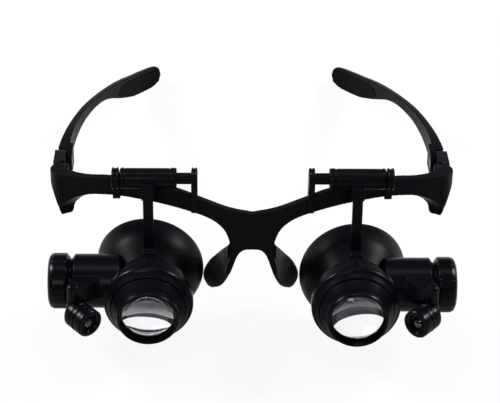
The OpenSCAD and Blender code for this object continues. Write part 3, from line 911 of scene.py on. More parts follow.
@dataclass(frozen=True)
class Moulding:
    """How a copy of a CAD node is moulded.

    Args:
        grain: size of the remeshing voxels, in millimetres.
        passes: smoothing passes.
        keep: share of the faces kept.
    """

    grain: float
    passes: int
    keep: float


class Workshop:
    """Makes pieces from meshes and lets them ride on their bodies."""

    def __init__(self, finishes: Finishes) -> None:
        """Keeps the finishes and counts the pieces."""
        self.finishes = finishes
        self.count = 0

    def piece(self, name: str, bm: Solid, body: str, finish: Dye,
              slot: str, node: Optional[str] = None) -> Thing:
        """Makes one piece that rides on a body.

        Args:
            name: the piece's name.
            bm: its mesh, in place.
            body: the CAD body that carries it.
            finish: its material.
            slot: name of its material slot, used only to pick how sharp its creases stay.
            node: the CAD node that it stands for.

        Returns:
            The finished object.
        """
        mesh = bpy.data.meshes.new(name)
        bm.to_mesh(mesh)
        bm.free()
        crease = GLASS_CREASE if slot in ("lens_glass", "diode_resin") else CREASE
        return self.hand_over(placed(name, mesh), body, finish, slot, node, crease)

    def hand_over(self, obj: Thing, body: str, finish: Dye, slot: str,
                  node: Optional[str], crease: float) -> Thing:
        """Smooths an object's shading, dresses it and lets it ride on its body.

        Args:
            obj: the object.
            body: the CAD body that carries it.
            finish: its material.
            slot: name of its material slot; not used.
            node: the CAD node that it stands for.
            crease: edges sharper than this many degrees stay crisp.

        Returns:
            The same object.
        """
        mesh = obj.data
        for polygon in mesh.polygons:
            polygon.use_smooth = True
        mesh.set_sharp_from_angle(angle=math.radians(crease))
        mesh.materials.clear()
        mesh.materials.append(finish)
        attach(obj, body)
        if node:
            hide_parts(node)
        self.count += 1
        log.info("%s: %d faces, on %s", obj.name, len(mesh.polygons), body)
        return obj

    def recast(self, node: str, body: str, finish: Dye, slot: str, mould: Moulding,
               reshape: Optional[Callable[[Solid], None]] = None) -> Thing:
        """Copy of a CAD node with its edges softened as in a mould.

        Args:
            node: the CAD node.
            body: the body that carries it.
            finish: its material.
            slot: name of its material slot; not used.
            mould: how the copy is moulded.
            reshape: changes the copy before it is moulded.

        Returns:
            The new piece, which replaces the node.
        """
        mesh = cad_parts[node].data.copy()
        obj = placed(node + "_moulding", mesh)
        bm = bmesh.new()
        bm.from_mesh(mesh)
        bmesh.ops.remove_doubles(bm, verts=bm.verts, dist=2e-6)
        if reshape:
            reshape(bm)
            log.info("%s: %d open edges", node, sum(e.is_boundary for e in bm.edges))
        bm.to_mesh(mesh)
        bm.free()
        cast = obj.modifiers.new("Cast", "REMESH")
        cast.mode = "VOXEL"
        cast.voxel_size = mould.grain * MM
        polish = obj.modifiers.new("Polish", "SMOOTH")
        polish.factor, polish.iterations = 0.5, mould.passes
        obj.modifiers.new("Thin", "DECIMATE").ratio = mould.keep
        evaluated(obj)
        return self.hand_over(obj, body, finish, slot, node, MOULD_CREASE)

    def dress(self, node: str, finish: Dye) -> None:
        """Gives a carried-over CAD node its material.

        Args:
            node: the CAD node.
            finish: its material.
        """
        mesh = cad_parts[node].data
        if mesh.materials:
            for i in range(len(mesh.materials)):
                mesh.materials[i] = finish
        else:
            mesh.materials.append(finish)


# ---------------------------------------------------------------- the part

@dataclass
class FrontFrame:
    """Half-rim front: brow bar, bridge, nose wings and end pieces, with the hinges' fold pins.

    Args:
        mould: how the front is moulded.
        wing_inner: knots of the nose wings' inner edge.
        wing_outer: knots of their outer edge.
        wing_r: half their thickness.
        wing_from: depth behind which the wings of the CAD give way to the curved ones.
        wing_x: where they lie across.
        wing_z: where they lie in height.
    """

    mould: Moulding = Moulding(0.26, 2, 0.6)
    wing_inner: tuple[Spot, ...] = (
        (7.0, 2.2, 13.8), (7.9, 2.8, 9.0), (8.4, 3.8, 4.2), (9.6, 6.5, -0.8), (11.5, 9.6, -5.9),
        (13.3, 12.0, -8.6), (15.0, 13.9, -9.9))
    wing_outer: tuple[Spot, ...] = (
        (7.8, 2.4, 16.4), (8.7, 3.1, 13.8), (10.0, 6.0, 10.9), (12.2, 11.0, 5.9), (15.2, 13.6, 1.3),
        (17.3, 14.4, -3.2), (17.5, 14.9, -6.9), (16.1, 14.8, -9.7))
    wing_r: float = 0.9
    wing_from: float = 4.7
    wing_x: Point = (5.0, 21.0)
    wing_z: Point = (-14.0, 14.0)

    def flare(self, bm: Solid) -> None:
        """Puts smooth curved nose wings in place of the faceted ones.

        Args:
            bm: copy of the front's mesh, in the table frame.
        """
        for side in Side:
            place = REST.worn(side)
            back = place.inverted()
            wing = []
            for face in bm.faces:
                x, _, z = back @ face.calc_center_median()
                if self.wing_x[0] < x < self.wing_x[1] and self.wing_z[0] < z < self.wing_z[1]:
                    wing.append(face)
            backwards = Vector((0, 1, 0))
            cut_back(bm, wing, place @ (backwards * self.wing_from), place.to_3x3() @ backwards)
            take_in(bm, curved_plate(self.wing_inner, self.wing_outer, self.wing_r, place))

    def build(self, shop: Workshop) -> None:
        """Makes the front's moulding and its pins.

        Args:
            shop: the workshop.
        """
        finish = shop.finishes.frame
        shop.recast("front_frame", "frame", finish, "frame_plastic", self.mould, self.flare)
        for side in Side:
            shop.dress(f"{side.word}_fold_pin", shop.finishes.dark_steel)


@dataclass
class Temple:
    """One temple with its hinge block, tilt screw and soft inlay.

    Args:
        side: the wearer's side.
        tip: the tip's end point, in the worn frame.
        tip_from: depth behind which the tip is rounded.
        heading: the tip's direction seen from above.
        rounds: planes that round the tip, as (angle up, distance from the tip's end point).
        rise: where the tip starts to curve up from the CAD's, and by how much at its end.
    """

    side: Side
    tip: Spot = (39.6, 156.3, 14.6)
    tip_from: float = 120.0
    heading: Point = (-0.535, 0.845)
    rounds: tuple[Point, ...] = ((0, -1.3), (15, -1.12), (30, -0.6), (50, 0.6), (-15, -0.95))
    rise: Point = (130.0, 0.9)

    def trim(self, bm: Solid) -> None:
        """Curves the tip up a little and rounds it with a row of planes.

        Args:
            bm: mesh in the table frame.
        """
        place = REST.worn(self.side)
        back = place.inverted()
        start, height = self.rise
        for vert in bm.verts:
            spot = back @ vert.co
            if spot.y > start:
                spot.z += height * ((spot.y - start) / (self.tip[1] - start)) ** 2
                vert.co = place @ spot
        for angle, reach in self.rounds:
            level, up = ray(angle)
            normal = Vector((self.heading[0] * level, self.heading[1] * level, up))
            point = Vector(self.tip) + Vector((0, 0, height)) + normal * reach
            near = [f for f in bm.faces if (back @ f.calc_center_median()).y > self.tip_from]
            cut_back(bm, near, place @ point, place.to_3x3() @ normal)

    def build(self, shop: Workshop) -> None:
        """Makes the temple's pieces.

        Args:
            shop: the workshop.
        """
        word, f = self.side.word, shop.finishes
        arm, hinge, pad = Moulding(0.3, 5, 0.5), Moulding(0.18, 3, 0.6), Moulding(0.2, 3, 0.5)
        for node, body, finish, slot, mould, reshape in (
                ("temple_arm", "temple", f.temple, "frame_plastic", arm, self.trim),
                ("hinge_block", "hinge", f.hinge, "frame_plastic", hinge, None),
                ("temple_pad", "temple", f.rubber, "soft_rubber", pad, self.trim)):
            shop.recast(f"{word}_{node}", f"{word}_{body}", finish, slot, mould, reshape)
        shop.dress(f"{word}_tilt_screw", f.dark_steel)


@dataclass
class Axle:
    """Clips on the brow, the axle rod, and the sleeve with its stem.

    Args:
        side: the wearer's side.
        rod_z: height of the rod above the loupe axes.
        sleeve_x: inner end of the sleeve.
        sleeve_l: its length.
        sleeve_r: its radius over the end bands.
        rod_r: radius of the rod.
        stem_x: middle of the stem.
        stem_w: its width.
        stem_t: its thickness.
        stem_front: distance of its front from the rod's axis.
        rail_w: width of the socket's rails beside the stem.
        inner_clip: inner end and width of the inner clip's head.
        outer_clip: inner end and width of the outer clip's head.
        head_r: radius of the clips' heads.
        hoop_r: radius of the section of the rings round a head.
    """

    side: Side
    rod_z: float = 44.8
    sleeve_x: float = 28.2
    sleeve_l: float = 20.9
    sleeve_r: float = 3.95
    rod_r: float = 2.15
    stem_x: float = 38.8
    stem_w: float = 3.8
    stem_t: float = 2.2
    stem_front: float = 4.5
    rail_w: float = 0.5
    inner_clip: Point = (20.5, 2.4)
    outer_clip: Point = (49.4, 2.8)
    head_r: float = 3.8
    hoop_r: float = 0.42

    def on_rod(self) -> Matrix:
        """Matrix of the rod's frame, whose Z runs outwards from the middle."""
        return REST.hung(self.side, (0, 0, self.rod_z)) @ turned(90, "Y")

    def barrel(self) -> Solid:
        """The sleeve's bored barrel, with a band at each end and a fine step beside each.

        Returns:
            The solid mesh.
        """
        r, x0, x1 = self.sleeve_r, self.sleeve_x, self.sleeve_x + self.sleeve_l
        bore, groove, middle = self.rod_r + 0.05, r - 0.3, r - 0.12
        outline = [
            (bore, x0), (bore + 0.3, x0), (r - 0.1, x0, 0.35), (r, x0 + 1.0, 0.4),
            (r, x0 + 2.1, 0.12), (groove, x0 + 2.25, 0.1), (groove, x0 + 2.6, 0.1),
            (middle, x0 + 2.75, 0.1), (middle, x1 - 1.9, 0.1), (groove, x1 - 1.8, 0.1),
            (groove, x1 - 1.55, 0.1), (r, x1 - 1.45, 0.12), (r, x1 - 0.4, 0.35),
            (r - 0.5, x1, 0.35), (bore, x1)]
        return lathe(outline, self.on_rod(), 96, closed=True)

    def socket(self) -> list[Solid]:
        """The two rails, the back plate and the cap that hold the stem on the sleeve's front.

        Returns:
            The four blocks.
        """
        low, high, rear = self.rod_z - 7, self.rod_z + 0.2, -1.2
        stem_back = self.stem_t - self.stem_front
        half, wide = self.stem_w / 2, self.stem_w / 2 + 0.1
        outer, front = half + self.rail_w, -self.stem_front - 0.2
        blocks = (((half, front, low), (outer, rear, high), 0.16),
                  ((-outer, front, low), (-half, rear, high), 0.16),
                  ((-wide, stem_back, low + 0.1), (wide, rear, high - 0.1), 0.1),
                  ((-wide, front + 0.15, self.rod_z - 0.55), (wide, rear - 0.3, high - 0.05), 0.1))
        place = REST.hung(self.side, (self.stem_x, 0, 0))
        return [block(near, far, place, edge) for near, far, edge in blocks]

    def build(self, shop: Workshop) -> None:
        """Makes the pieces on the rod.

        Args:
            shop: the workshop.
        """
        word, f = self.side.word, shop.finishes
        for clip, (x, w) in (("outer_clip", self.outer_clip), ("inner_clip", self.inner_clip)):
            shop.recast(f"{word}_{clip}", "frame", f.clip, "clip_plastic", Moulding(0.15, 3, 0.6))
            inset = 0.55
            place = REST.worn(self.side, (x + inset, 0, self.rod_z)) @ turned(90, "Y")
            rings = ring_row(self.head_r - 0.12, self.hoop_r, w - 2 * inset, 2, place, f.clip)
            shop.piece(f"{word}_{clip}_rings", rings, "frame", f.clip, "clip_plastic")
        shop.dress(f"{word}_axle_rod", f.clip)
        shop.piece(f"{word}_sleeve_barrel", joined([self.barrel(), *self.socket()]),
                   f"{word}_carriage", f.clip, "clip_plastic", f"{word}_sleeve")
        mould = Moulding(0.16, 2, 0.6)
        shop.recast(f"{word}_stem", f"{word}_carriage", f.clip, "clip_plastic", mould)


@dataclass
class Loupe:
    """Eyecup, collar, cells and the pull-out lens unit.

    Args:
        side: the wearer's side.
        axis_x: distance of the loupe's axis from the middle.
        rim_y: distance from the bridge's front back to the rim.
        cup_r: radius of the eyecup's rim.
        wall: its wall.
        cant: slant of the rim, in degrees.
        neck_r: radius of the eyecup's neck.
        neck_end: distance of the neck's front from the rim.
        collar_back: distance of the collar's back from the rim.
        step_end: distance of the flange's front from the rim.
        tube_r: radius of the lens tube in the eyecup's neck.
        step_r: its radius in front of the neck.
        flange_r: radius of the collar's flange.
        ring_r: radius of the retaining ring.
        view_r: radius of the view through it.
        lens_r: radius of the lenses.
        front_lens: radii of its rear and front faces, nought for flat, and its edge's thickness.
        rear_lens: the same of the rear lens.
        front_stop: distance of the front lens's rear edge from the rim.
        rear_stop: the same of the rear lens.
        long: distance of the retaining ring's front from the rim.
        housing_z: height of the battery housing's axis.
        housing_s: distance of that axis from the rim.
        housing_x: outer end of the battery housing.
        cap_gap: gap between housing and cap.
        cap_r: radius of the cap.
        cap_l: its length.
        spigot_r: radius of the spigot on which it turns.
        cell_r: radius of the button cells.
        cell_t: thickness of one cell.
        cell_count: number of cells.
        spring: the spring's first and last radius, height, wire radius and turns.
        grooves: number of grooves along the cap.
    """

    side: Side
    axis_x: float = 38.8
    rim_y: float = 10.0
    cup_r: float = 20.4
    wall: float = 1.4
    cant: float = 6.0
    neck_r: float = 14.0
    neck_end: float = 26.2
    collar_back: float = 18.4
    step_end: float = 28.8
    tube_r: float = 12.6
    step_r: float = 13.8
    flange_r: float = 16.8
    ring_r: float = 11.7
    view_r: float = 9.5
    lens_r: float = 10.2
    front_lens: Spot = (60.0, 17.0, 2.0)
    rear_lens: Spot = (0.0, 26.0, 2.5)
    front_stop: float = 32.0
    rear_stop: float = 22.0
    long: float = 37.5
    housing_z: float = 4.35
    housing_s: float = 18.5
    housing_x: float = 67.3
    cap_gap: float = 1.1
    cap_r: float = 10.5
    cap_l: float = 8.0
    spigot_r: float = 8.4
    cell_r: float = 5.8
    cell_t: float = 3.1
    cell_count: int = 3
    spring: tuple[float, ...] = (3.4, 1.9, 3.2, 0.3, 4.5)
    grooves: int = 10

    @property
    def seat(self) -> float:
        """Station where the retaining ring sits in the tube."""
        return self.long - 2.5

    @property
    def cone_end(self) -> float:
        """Station where the tube's taper meets the ring."""
        return self.long - 3.8

    @property
    def cells_end(self) -> float:
        """Outer end of the stack of cells."""
        return self.housing_x + self.cap_gap + 3

    def at_loupe(self) -> Matrix:
        """Matrix of the loupe's frame, whose Z runs forwards from the rim."""
        return REST.hung(self.side, (self.axis_x, self.rim_y, 0)) @ turned(90, "X")

    def at_housing(self) -> Matrix:
        """Matrix of the battery housing's frame, whose Z runs outwards from the middle."""
        spot = (0, self.rim_y - self.housing_s, self.housing_z)
        return REST.hung(self.side, spot) @ turned(90, "Y")

    def cup_row(self, inset: float, steps: int = 6) -> list[Point]:
        """Outer line of the eyecup from its rim to its neck, moved inwards.

        Args:
            inset: distance inwards.
            steps: pieces between two knots.

        Returns:
            Points as (radius, station).
        """
        r, n = self.cup_r, self.neck_r
        knots = [(r, 0), (r, 3), (r - 0.5, 6), (r - 1.5, 9.5), (r - 3.1, 12.5), (n + 1.5, 15.4),
                 (n + 0.3, 17.4), (n, self.collar_back)]
        row = (on_curve(knots, i / steps) for i in range(steps * (len(knots) - 1) + 1))
        return [(spot.x - inset, spot.y) for spot in row]

    def eyecup(self) -> Solid:
        """The bell with its slanting rolled rim, its neck and the boss in front of the stem.

        Returns:
            The solid mesh.
        """
        bead_r, bore, bead_s = self.wall / 2, self.tube_r + 0.05, 0.7
        arc = (ray(angle) for angle in range(0, 181, 20))
        bead = [(self.cup_r - bead_r - bead_r * x, bead_s - bead_r * y) for x, y in arc]
        outer, inner = ([p for p in self.cup_row(inset) if p[1] > bead_s + 0.1]
                        for inset in (0, self.wall))
        outline = inner[::-1] + bead + outer + [
            (self.neck_r, self.neck_end), (bore, self.neck_end), (bore, self.collar_back)]
        slope = math.tan(math.radians(self.cant))

        def slanted(r: float, s: float, a: float) -> Point:
            """Moves the rim back on its outer side, fading out along the bell."""
            fade = max(0.0, min(1.0, (9.0 - s) / 8.0))
            return r, s - r * ray(a)[0] * slope * fade

        bell = lathe(outline, self.at_loupe(), 160, slanted, closed=True)
        half = 2.1
        boss = block((-half, self.neck_r - 0.5, 14.5),
                     (half, self.cup_r - 3.5, self.collar_back - 0.05), self.at_loupe(), 0.35)
        return joined([bell, boss])

    def line(self, obj: Thing, finish: Dye) -> None:
        """Gives the faces that look at the loupe's axis a finish of their own.

        Args:
            obj: a turned piece of the loupe.
            finish: the finish of its inside.
        """
        back = self.at_loupe().inverted()
        axis = (self.at_loupe().to_3x3() @ Vector((0, 0, 1))).normalized()
        origin = self.at_loupe().translation
        lined_to, facing = self.long - 4, -0.25
        obj.data.materials.append(finish)
        for face in obj.data.polygons:
            spoke = face.center - origin
            spoke -= axis * spoke.dot(axis)
            station = (back @ face.center).z
            if station < lined_to and face.normal.dot(spoke.normalized()) < facing:
                face.material_index = 1

    def taper(self, r: float) -> float:
        """Station of the taper in front of the flange at a radius."""
        start, top = self.step_end - 0.4, self.flange_r - 1.2
        return start + (top - r) * (self.cone_end - start) / (top - self.ring_r - 0.1)

    def tube(self) -> Solid:
        """The lens tube: bored, flared behind the lenses, with its step and the taper in front.

        Returns:
            The solid mesh.
        """
        tube, step, bore, aperture = self.tube_r, self.step_r, self.lens_r, self.view_r - 0.4
        back, neck, end, stop = 14.5, self.neck_end, self.cone_end, self.rear_stop
        outline = [
            (tube - 0.8, back), (tube - 0.2, back, 0.1), (tube, back + 0.4, 0.2),
            (tube, neck + 0.2), (step - 0.2, neck + 0.2, 0.2), (step, neck + 0.6, 0.2),
            (step, self.taper(step), 0.15),
            (self.ring_r + 0.12, end - 0.3, 0.1), (self.ring_r - 0.1, end - 0.1),
            (bore + 0.7, end - 0.1), (bore + 0.7, self.seat), (bore, self.seat),
            (bore, stop), (aperture, stop), (aperture, stop - 0.8, 0.2)]
        return lathe(outline, self.at_loupe(), 144, closed=True)

    def ring(self) -> Solid:
        """The retaining ring with its rolled front edge and the bevel round the view.

        Returns:
            The solid mesh.
        """
        r, view, inner = self.ring_r, self.view_r, self.lens_r + 0.7
        s, back = self.long, self.cone_end
        outline = [
            (view, self.seat), (inner, self.seat), (inner, back), (r - 0.15, back, 0.1),
            (r, back + 0.2, 0.15), (r, s - 0.9, 0.5), (r - 0.45, s - 0.1, 0.4),
            (r - 0.9, s, 0.3), (r - 1.1, s - 0.15, 0.15), (view + 0.25, s - 1.5, 0.2),
            (view, self.seat + 0.3, 0.1)]
        return lathe(outline, self.at_loupe(), 144, closed=True)

    def lens(self, back: float, rear_curve: float, front_curve: float, edge: float) -> Solid:
        """A lens with ground faces.

        Args:
            back: station of its rear edge.
            rear_curve: radius of its rear face, or nought for a flat one.
            front_curve: radius of its front face.
            edge: thickness at its edge.

        Returns:
            The lens's mesh.
        """
        rim, rings = self.lens_r - 0.02, 24

        def sag(curve: float, r: float) -> float:
            """Height of a ball's surface over its middle plane."""
            return math.sqrt(curve ** 2 - r ** 2)

        def face(curve: float, station: float, sign: int) -> list[Point]:
            """Points from the axis to the edge of one face.

            Args:
                curve: radius of the face, or nought for a flat one.
                station: station of its edge.
                sign: one if it bulges forwards, minus one if backwards.

            Returns:
                Points as (radius, station).
            """
            rows = []
            for i in range(rings + 1):
                r = rim * i / rings
                rise = sag(curve, r) - sag(curve, rim) if curve else 0.0
                rows.append((r, station + sign * rise))
            return rows

        outline = face(rear_curve, back, -1) + face(front_curve, back + edge, 1)[::-1]
        return lathe(outline, self.at_loupe(), 128)

    def cap(self) -> Solid:
        """The screw cap, with thin stepped grooves along its side and a rounded end.

        Returns:
            The solid mesh.
        """
        x0, r, bore = self.housing_x + self.cap_gap, self.cap_r, self.spigot_r + 0.06
        end = x0 + self.cap_l
        outline = [
            (0, x0 + 3.2), (bore, x0 + 3.2), (bore, x0), (r - 1.5, x0, 0.3),
            (r - 0.1, x0 + 1.1, 0.6), (r, x0 + 1.7, 0.2), (r, x0 + 2.4), (r, x0 + 4.0),
            (r, end - 2.6), (r, end - 2.1, 0.6),
            (r - 0.6, end - 0.85, 0.9), (r - 1.9, end - 0.15, 0.9), (r - 3.4, end, 1.0),
            (r - 5.5, end), (0, end)]
        pitch, first, half_groove = 360.0 / self.grooves, 12.0, 1.6

        def grooved(rad: float, s: float, a: float) -> Point:
            """Cuts the stepped grooves into the cap's side.

            Args:
                rad: radius of a point.
                s: its station.
                a: its angle in degrees.

            Returns:
                Its new radius and station.
            """
            if rad < r - 0.55 or s < x0 + 1.4 or s > end - 1.6:
                return rad, s
            off = abs((a - first + pitch / 2) % pitch - pitch / 2)
            depth = 0.3 if off < half_groove else 0.12 * max(0.0, 1 - off / (pitch / 2)) ** 2
            return rad - depth, s

        return lathe(outline, self.at_housing(), 360, grooved)

    def cells(self) -> list[Solid]:
        """The button cells with their stepped negative faces.

        Returns:
            The cells' meshes.
        """
        out, r = [], self.cell_r
        for i in range(self.cell_count, 0, -1):
            low = self.cells_end - i * self.cell_t
            top = low + self.cell_t - 0.05
            out.append(lathe([
                (0, low), (r - 0.8, low, 0.2), (r - 0.6, low + 0.22, 0.1), (r, low + 0.26, 0.15),
                (r, top - 0.05, 0.25), (r - 0.4, top, 0.1), (0, top)], self.at_housing(), 72))
        return out

    def coil(self, finish: Dye) -> Solid:
        """The contact spring between its plate and the cells."""
        cavity = self.cells_end - self.cell_count * self.cell_t - 4.4
        return coil(*self.spring, self.at_housing() @ shifted(0, 0, cavity + 0.75), finish)

    def build(self, shop: Workshop) -> None:
        """Makes the loupe's pieces.

        Args:
            shop: the workshop.
        """
        word, f = self.side.word, shop.finishes
        carriage, unit = f"{word}_carriage", f"{word}_lens_unit"
        lined = [shop.piece(f"{word}_eyecup_bell", self.eyecup(), carriage, f.cup, "cup_plastic",
                            f"{word}_eyecup")]
        mould = Moulding(0.22, 4, 0.6)
        shop.recast(f"{word}_collar", carriage, f.housing, "housing_plastic", mould)
        front = self.lens(self.front_stop, *self.front_lens)
        rear = self.lens(self.rear_stop, *self.rear_lens)
        cells, moulded = joined(self.cells()), "housing_plastic"
        for name, node, mesh, body, finish, slot in (
                ("battery_cap_grip", "battery_cap", self.cap(), f"{word}_cap", f.housing, moulded),
                ("lens_tube_turned", "lens_tube", self.tube(), unit, f.housing, moulded),
                ("retaining_ring_turned", "retaining_ring", self.ring(), unit, f.housing, moulded),
                ("front_lens_ground", "front_lens", front, unit, f.lens, "lens_glass"),
                ("rear_lens_ground", "rear_lens", rear, unit, f.lens, "lens_glass"),
                ("cell_stack", "button_cells", cells, carriage, f.cell, "cell_metal"),
                ("contact_coil", "contact_spring", self.coil(f.steel), carriage, f.steel, "steel")):
            piece = shop.piece(f"{word}_{name}", mesh, body, finish, slot, f"{word}_{node}")
            if node == "lens_tube":
                lined.append(piece)
        for piece in lined:
            self.line(piece, f.core)
        shop.dress(f"{word}_spacer_ring", f.core)
        shop.dress(f"{word}_contact_plate", f.brass)


@dataclass
class Lamp:
    """Lamp head that turns under the housing's lug.

    Args:
        side: the wearer's side.
        pivot: place of the pivot, seen from above.
        head_z: height of the head's axis.
        head_r: radius of the head.
        head_l: its length with the bezel.
        back: how far it reaches behind the pivot, with the rounding.
        toe: its turn towards the loupe's axis, in degrees.
        led_r: radius of the diode.
        lug_low: height of the housing's lug.
        lug_top: height of its top.
        lug_r: its radius.
        bezel_l: length of the bezel.
    """

    side: Side
    pivot: Point = (66.2, -22.4)
    head_z: float = 0.0
    head_r: float = 5.4
    head_l: float = 11.2
    back: float = 2.6
    toe: float = 41.0
    led_r: float = 2.9
    lug_low: float = 5.85
    lug_top: float = 11.6
    lug_r: float = 2.6
    bezel_l: float = 1.6

    def at_lamp(self) -> Matrix:
        """Matrix of the lamp's frame, whose Z runs backwards from the lamp's front."""
        return (self.upright(self.head_z) @ turned(-self.toe, "Z") @ turned(-90, "X")
                @ shifted(0, 0, self.back - self.head_l - 1.2))

    def upright(self, z: float) -> Matrix:
        """Matrix of a frame that stands on the pivot's axis at a height."""
        return REST.hung(self.side, (*self.pivot, z))

    def head(self) -> Solid:
        """The bored head with its ring grooves, and the column on top of it.

        Returns:
            The solid mesh.
        """
        r, b, bore, groove = self.head_r, self.bezel_l, self.led_r + 0.45, self.head_r - 0.4
        outline = [
            (bore, b), (r - 0.15, b), (r, b + 0.2, 0.1), (r, 3.5, 0.15), (groove, 3.75, 0.1),
            (groove, 4.15, 0.1), (r, 4.4, 0.15), (r, 5.7, 0.15), (groove, 5.95, 0.1),
            (groove, 6.35, 0.1), (r - 0.1, 6.6, 0.15), (r - 0.15, 9.0, 0.8), (r - 1.5, 10.8, 0.8),
            (r - 2.6, self.head_l, 0.5), (0, self.head_l), (0, 8.0), (bore, 8.0)]
        lug, top = self.lug_r, self.lug_low - 0.3
        column = [(0, 0), (lug + 0.7, 0), (lug + 0.25, 3.5, 1.0), (lug, 5.3, 0.2), (lug - 0.2, top),
                  (0, top)]
        turret = lathe(column, self.upright(self.head_z), 64)
        return joined([lathe(outline, self.at_lamp(), 96), turret])

    def bezel(self) -> Solid:
        """The ring round the diode, with its inward slope.

        Returns:
            The solid mesh.
        """
        r, w = self.head_r, self.led_r
        outline = [
            (w + 0.3, self.bezel_l), (w + 0.3, 0.9, 0.2), (w + 0.95, 0.1, 0.25), (w + 1.2, 0, 0.15),
            (r - 0.45, 0, 0.3), (r, 0.45, 0.3), (r, self.bezel_l - 0.05)]
        return lathe(outline, self.at_lamp(), 96, closed=True)

    def pin(self) -> Solid:
        """The pivot pin with its domed head.

        Returns:
            The solid mesh.
        """
        foot, head = self.lug_low - 3, self.lug_top + 0.05
        outline = [(0, foot), (0.9, foot), (0.9, head), (2.35, head, 0.1), (2.2, head + 0.45, 0.4),
                   (1.4, head + 0.95, 0.6), (0, head + 1.1)]
        return lathe(outline, self.upright(0), 64)

    def dome(self) -> Solid:
        """The diode's clear body with its round nose and foot.

        Returns:
            The solid mesh.
        """
        r, foot = self.led_r, self.led_r + 0.4
        nose = [(r * y, r + 0.3 - r * x) for x, y in (ray(angle) for angle in range(0, 91, 6))]
        return lathe(nose + [(r, 7.0), (foot, 7.0), (foot, 7.95), (0, 7.95)], self.at_lamp(), 72)

    def reflector(self) -> Solid:
        """The bright cup and the two posts that show through the diode's nose.

        Returns:
            The solid mesh.
        """
        place = self.at_lamp()
        cup = lathe([(0, 3.6), (0.55, 3.6, 0.1), (1.15, 2.6, 0.1), (1.3, 2.6, 0.05), (1.3, 4.2),
                     (0, 4.2)], place, 40)
        posts = [block((x - 0.28, -0.45, 2.9), (x + 0.28, 0.45, 7.6), place, 0.06)
                 for x in (-0.75, 0.75)]
        plate = block((-1.6, -0.22, 3.9), (1.6, 0.22, 4.5), place, 0.06)
        return joined([cup, *posts, plate])

    def build(self, shop: Workshop) -> None:
        """Makes the lamp's pieces.

        Args:
            shop: the workshop.
        """
        word, f = self.side.word, shop.finishes
        chip = lathe([(0, 3.25), (0.5, 3.25), (0.5, 3.55), (0, 3.55)], self.at_lamp(), 24)
        for name, node, mesh, finish, slot in (
                ("lamp_head_turned", "lamp_head", self.head(), f.housing, "housing_plastic"),
                ("lamp_bezel_turned", "lamp_bezel", self.bezel(), f.housing, "housing_plastic"),
                ("lamp_pin_turned", "lamp_pin", self.pin(), f.clip, "clip_plastic"),
                ("diode_dome", "diode", self.dome(), f.diode, "diode_resin"),
                ("diode_leads", None, self.reflector(), f.steel, "steel"),
                ("diode_chip", None, chip, f.phosphor, "diode_resin")):
            stands_for = f"{word}_{node}" if node else None
            shop.piece(f"{word}_{name}", mesh, f"{word}_lamp", finish, slot, stands_for)


# ---------------------------------------------------------------- studio

@dataclass(frozen=True)
class Camera:
    """The photograph's camera.

    Args:
        azimuth: its turn round the part from straight in front, in degrees.
        elevation: its height over the table, in degrees.
        distance: its distance from the target, in metres.
        target: the point that it looks at.
        roll: its roll, in degrees.
        lens: focal length for the sensor, in millimetres.
        sensor: width of the sensor, in millimetres.
        shift: shift of the picture.
    """

    azimuth: float = -1.67
    elevation: float = 41.37
    distance: float = 0.7
    target: Spot = (0.0, -0.05427, 0.05624)
    roll: float = 1.28
    lens: float = 135.58
    sensor: float = 36.0
    shift: Point = (-0.00556, 0.0014)

    def make(self) -> Thing:
        """Builds the camera and makes it the scene's.

        Returns:
            The camera.
        """
        (level, rise), (east, north), (plumb, lean) = (
            ray(angle) for angle in (self.elevation, self.azimuth, self.roll))
        forward = Vector((-north * level, east * level, -rise))
        right = Vector((east, north, 0))
        up = right.cross(forward)
        across, over = right * plumb + up * lean, up * plumb - right * lean
        data = bpy.data.cameras.new("photo_camera")
        data.lens, data.sensor_width = self.lens, self.sensor
        data.shift_x, data.shift_y = self.shift
        data.clip_start, data.clip_end = 0.01, 20
        camera = placed("photo_camera", data)
        turn = Matrix((across, over, -forward)).transposed().to_4x4()
        camera.matrix_world = shifted(*(Vector(self.target) - forward * self.distance)) @ turn
        bpy.context.scene.camera = camera
        return camera


@dataclass(frozen=True)
class Softbox:
    """One rectangular studio lamp.

    Args:
        name: its name.
        place: where it stands, in metres.
        size: its width and height.
        power: its power in watts.
        aim: the point that it is aimed at.
    """

    name: str
    place: Spot
    size: Point
    power: float
    aim: Spot = (0.0, -0.03, 0.03)

    def make(self) -> Thing:
        """Builds the lamp.

        Returns:
            The lamp.
        """
        data = bpy.data.lights.new(self.name, "AREA")
        data.shape = "RECTANGLE"
        data.size, data.size_y = self.size
        data.energy = self.power
        lamp = placed(self.name, data)
        lamp.location = self.place
        ahead = Vector(self.aim) - Vector(self.place)
        lamp.rotation_euler = ahead.to_track_quat("-Z", "Y").to_euler()
        return lamp


def rays(tree: Tree) -> Iterable[Value]:
    """Masks that are one for camera rays, for mirrored rays and for rays through glass.

    Args:
        tree: the node tree.

    Returns:
        The three masks.
    """
    path = add_node(tree, "ShaderNodeLightPath")
    kinds = ("Camera", "Glossy", "Transmission")
    return (Value(tree, path.outputs[f"Is {kind} Ray"]) for kind in kinds)


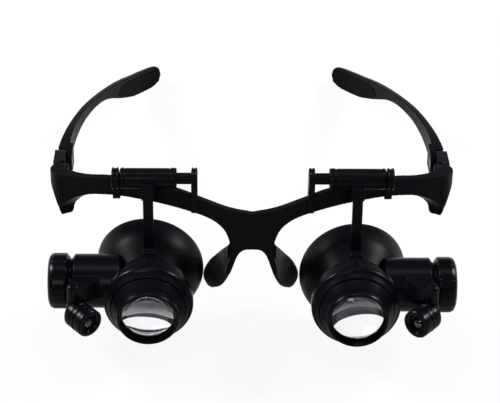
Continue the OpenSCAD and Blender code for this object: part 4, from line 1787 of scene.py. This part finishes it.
@dataclass(frozen=True)
class Studio:
    """White sweep, soft lamps and the world's light.

    Args:
        ambient: the surroundings' light on matt surfaces.
        floor_seen: brightness of the floor as the camera sees it.
        floor_colour: colour of the floor where it takes light and shadow.
        boxes: the soft lamps.
    """

    ambient: float = 0.55
    floor_seen: float = 0.9
    floor_colour: Colour = (0.48, 0.475, 0.47)
    boxes: tuple[Softbox, ...] = (
        Softbox("left_box", (-0.78, 0.22, 0.62), (0.24, 0.2), 14.0),
        Softbox("right_box", (0.78, 0.22, 0.62), (0.24, 0.2), 14.0),
        Softbox("front_fill", (-0.25, -0.9, 0.75), (0.3, 0.3), 3.0),
        Softbox("overhead", (0.0, 0.1, 1.0), (0.5, 0.3), 2.0))

    def make(self) -> None:
        """Sets the view and builds the studio."""
        bpy.context.scene.view_settings.view_transform = "Standard"
        Camera().make()
        self.world()
        self.floor()
        for lamp in self.boxes:
            lamp.make()

    def world(self) -> None:
        """Studio surroundings: white at the horizon, dim overhead, a soft light all round."""
        world = bpy.data.worlds.new("studio")
        bpy.context.scene.world = world
        world.use_nodes = True
        tree = world.node_tree
        tree.nodes.clear()
        seen, mirrored, through = rays(tree)
        heading = add_node(tree, "ShaderNodeTexCoord")
        parts = add_node(tree, "ShaderNodeSeparateXYZ", Vector=heading.outputs["Generated"])
        dim = Value(tree, parts.outputs["Z"]).ranged(0.1, 0.45, 0.35, 0.08)
        strength = mirrored * dim + (1 - mirrored) * self.ambient
        back = add_node(tree, "ShaderNodeBackground", Color=(1, 1, 1, 1),
                        Strength=seen.largest(through).largest(strength))
        add_node(tree, "ShaderNodeOutputWorld", Surface=back.outputs[0])

    def floor(self) -> None:
        """Plain white floor that keeps the part's shadow and shows white through glass."""
        bm = bmesh.new()
        bmesh.ops.create_grid(bm, x_segments=2, y_segments=2, size=2.5)
        mesh = bpy.data.meshes.new("floor")
        bm.to_mesh(mesh)
        bm.free()
        floor = placed("floor", mesh)
        floor.location = (0, 0, -0.0002)
        paint = Paint("floor_paper")
        paint.set(Base_Color=(*self.floor_colour, 1), Roughness=0.9, Specular_IOR_Level=0.0)
        seen, _, through = rays(paint.tree)
        glow = paint.node("Emission", Color=(1, 1, 1, 1))
        mix = add_node(paint.tree, "ShaderNodeMixShader")
        share = (seen * self.floor_seen).largest(through)
        for socket, given in zip(mix.inputs, (share, paint.shader.outputs[0], glow)):
            feed(paint.tree, socket, given)
        feed(paint.tree, paint.out.inputs["Surface"], mix.outputs[0])
        mesh.materials.append(paint.material)


def main() -> None:
    """Builds the studio and the part."""
    logging.basicConfig(level=logging.INFO, format="%(message)s")
    Studio().make()
    shop = Workshop(Finishes())
    FrontFrame().build(shop)
    for side in Side:
        for assembly in (Temple(side), Axle(side), Loupe(side), Lamp(side)):
            assembly.build(shop)
    log.info("%d pieces made", shop.count)


if __name__ == "__main__":
    main()
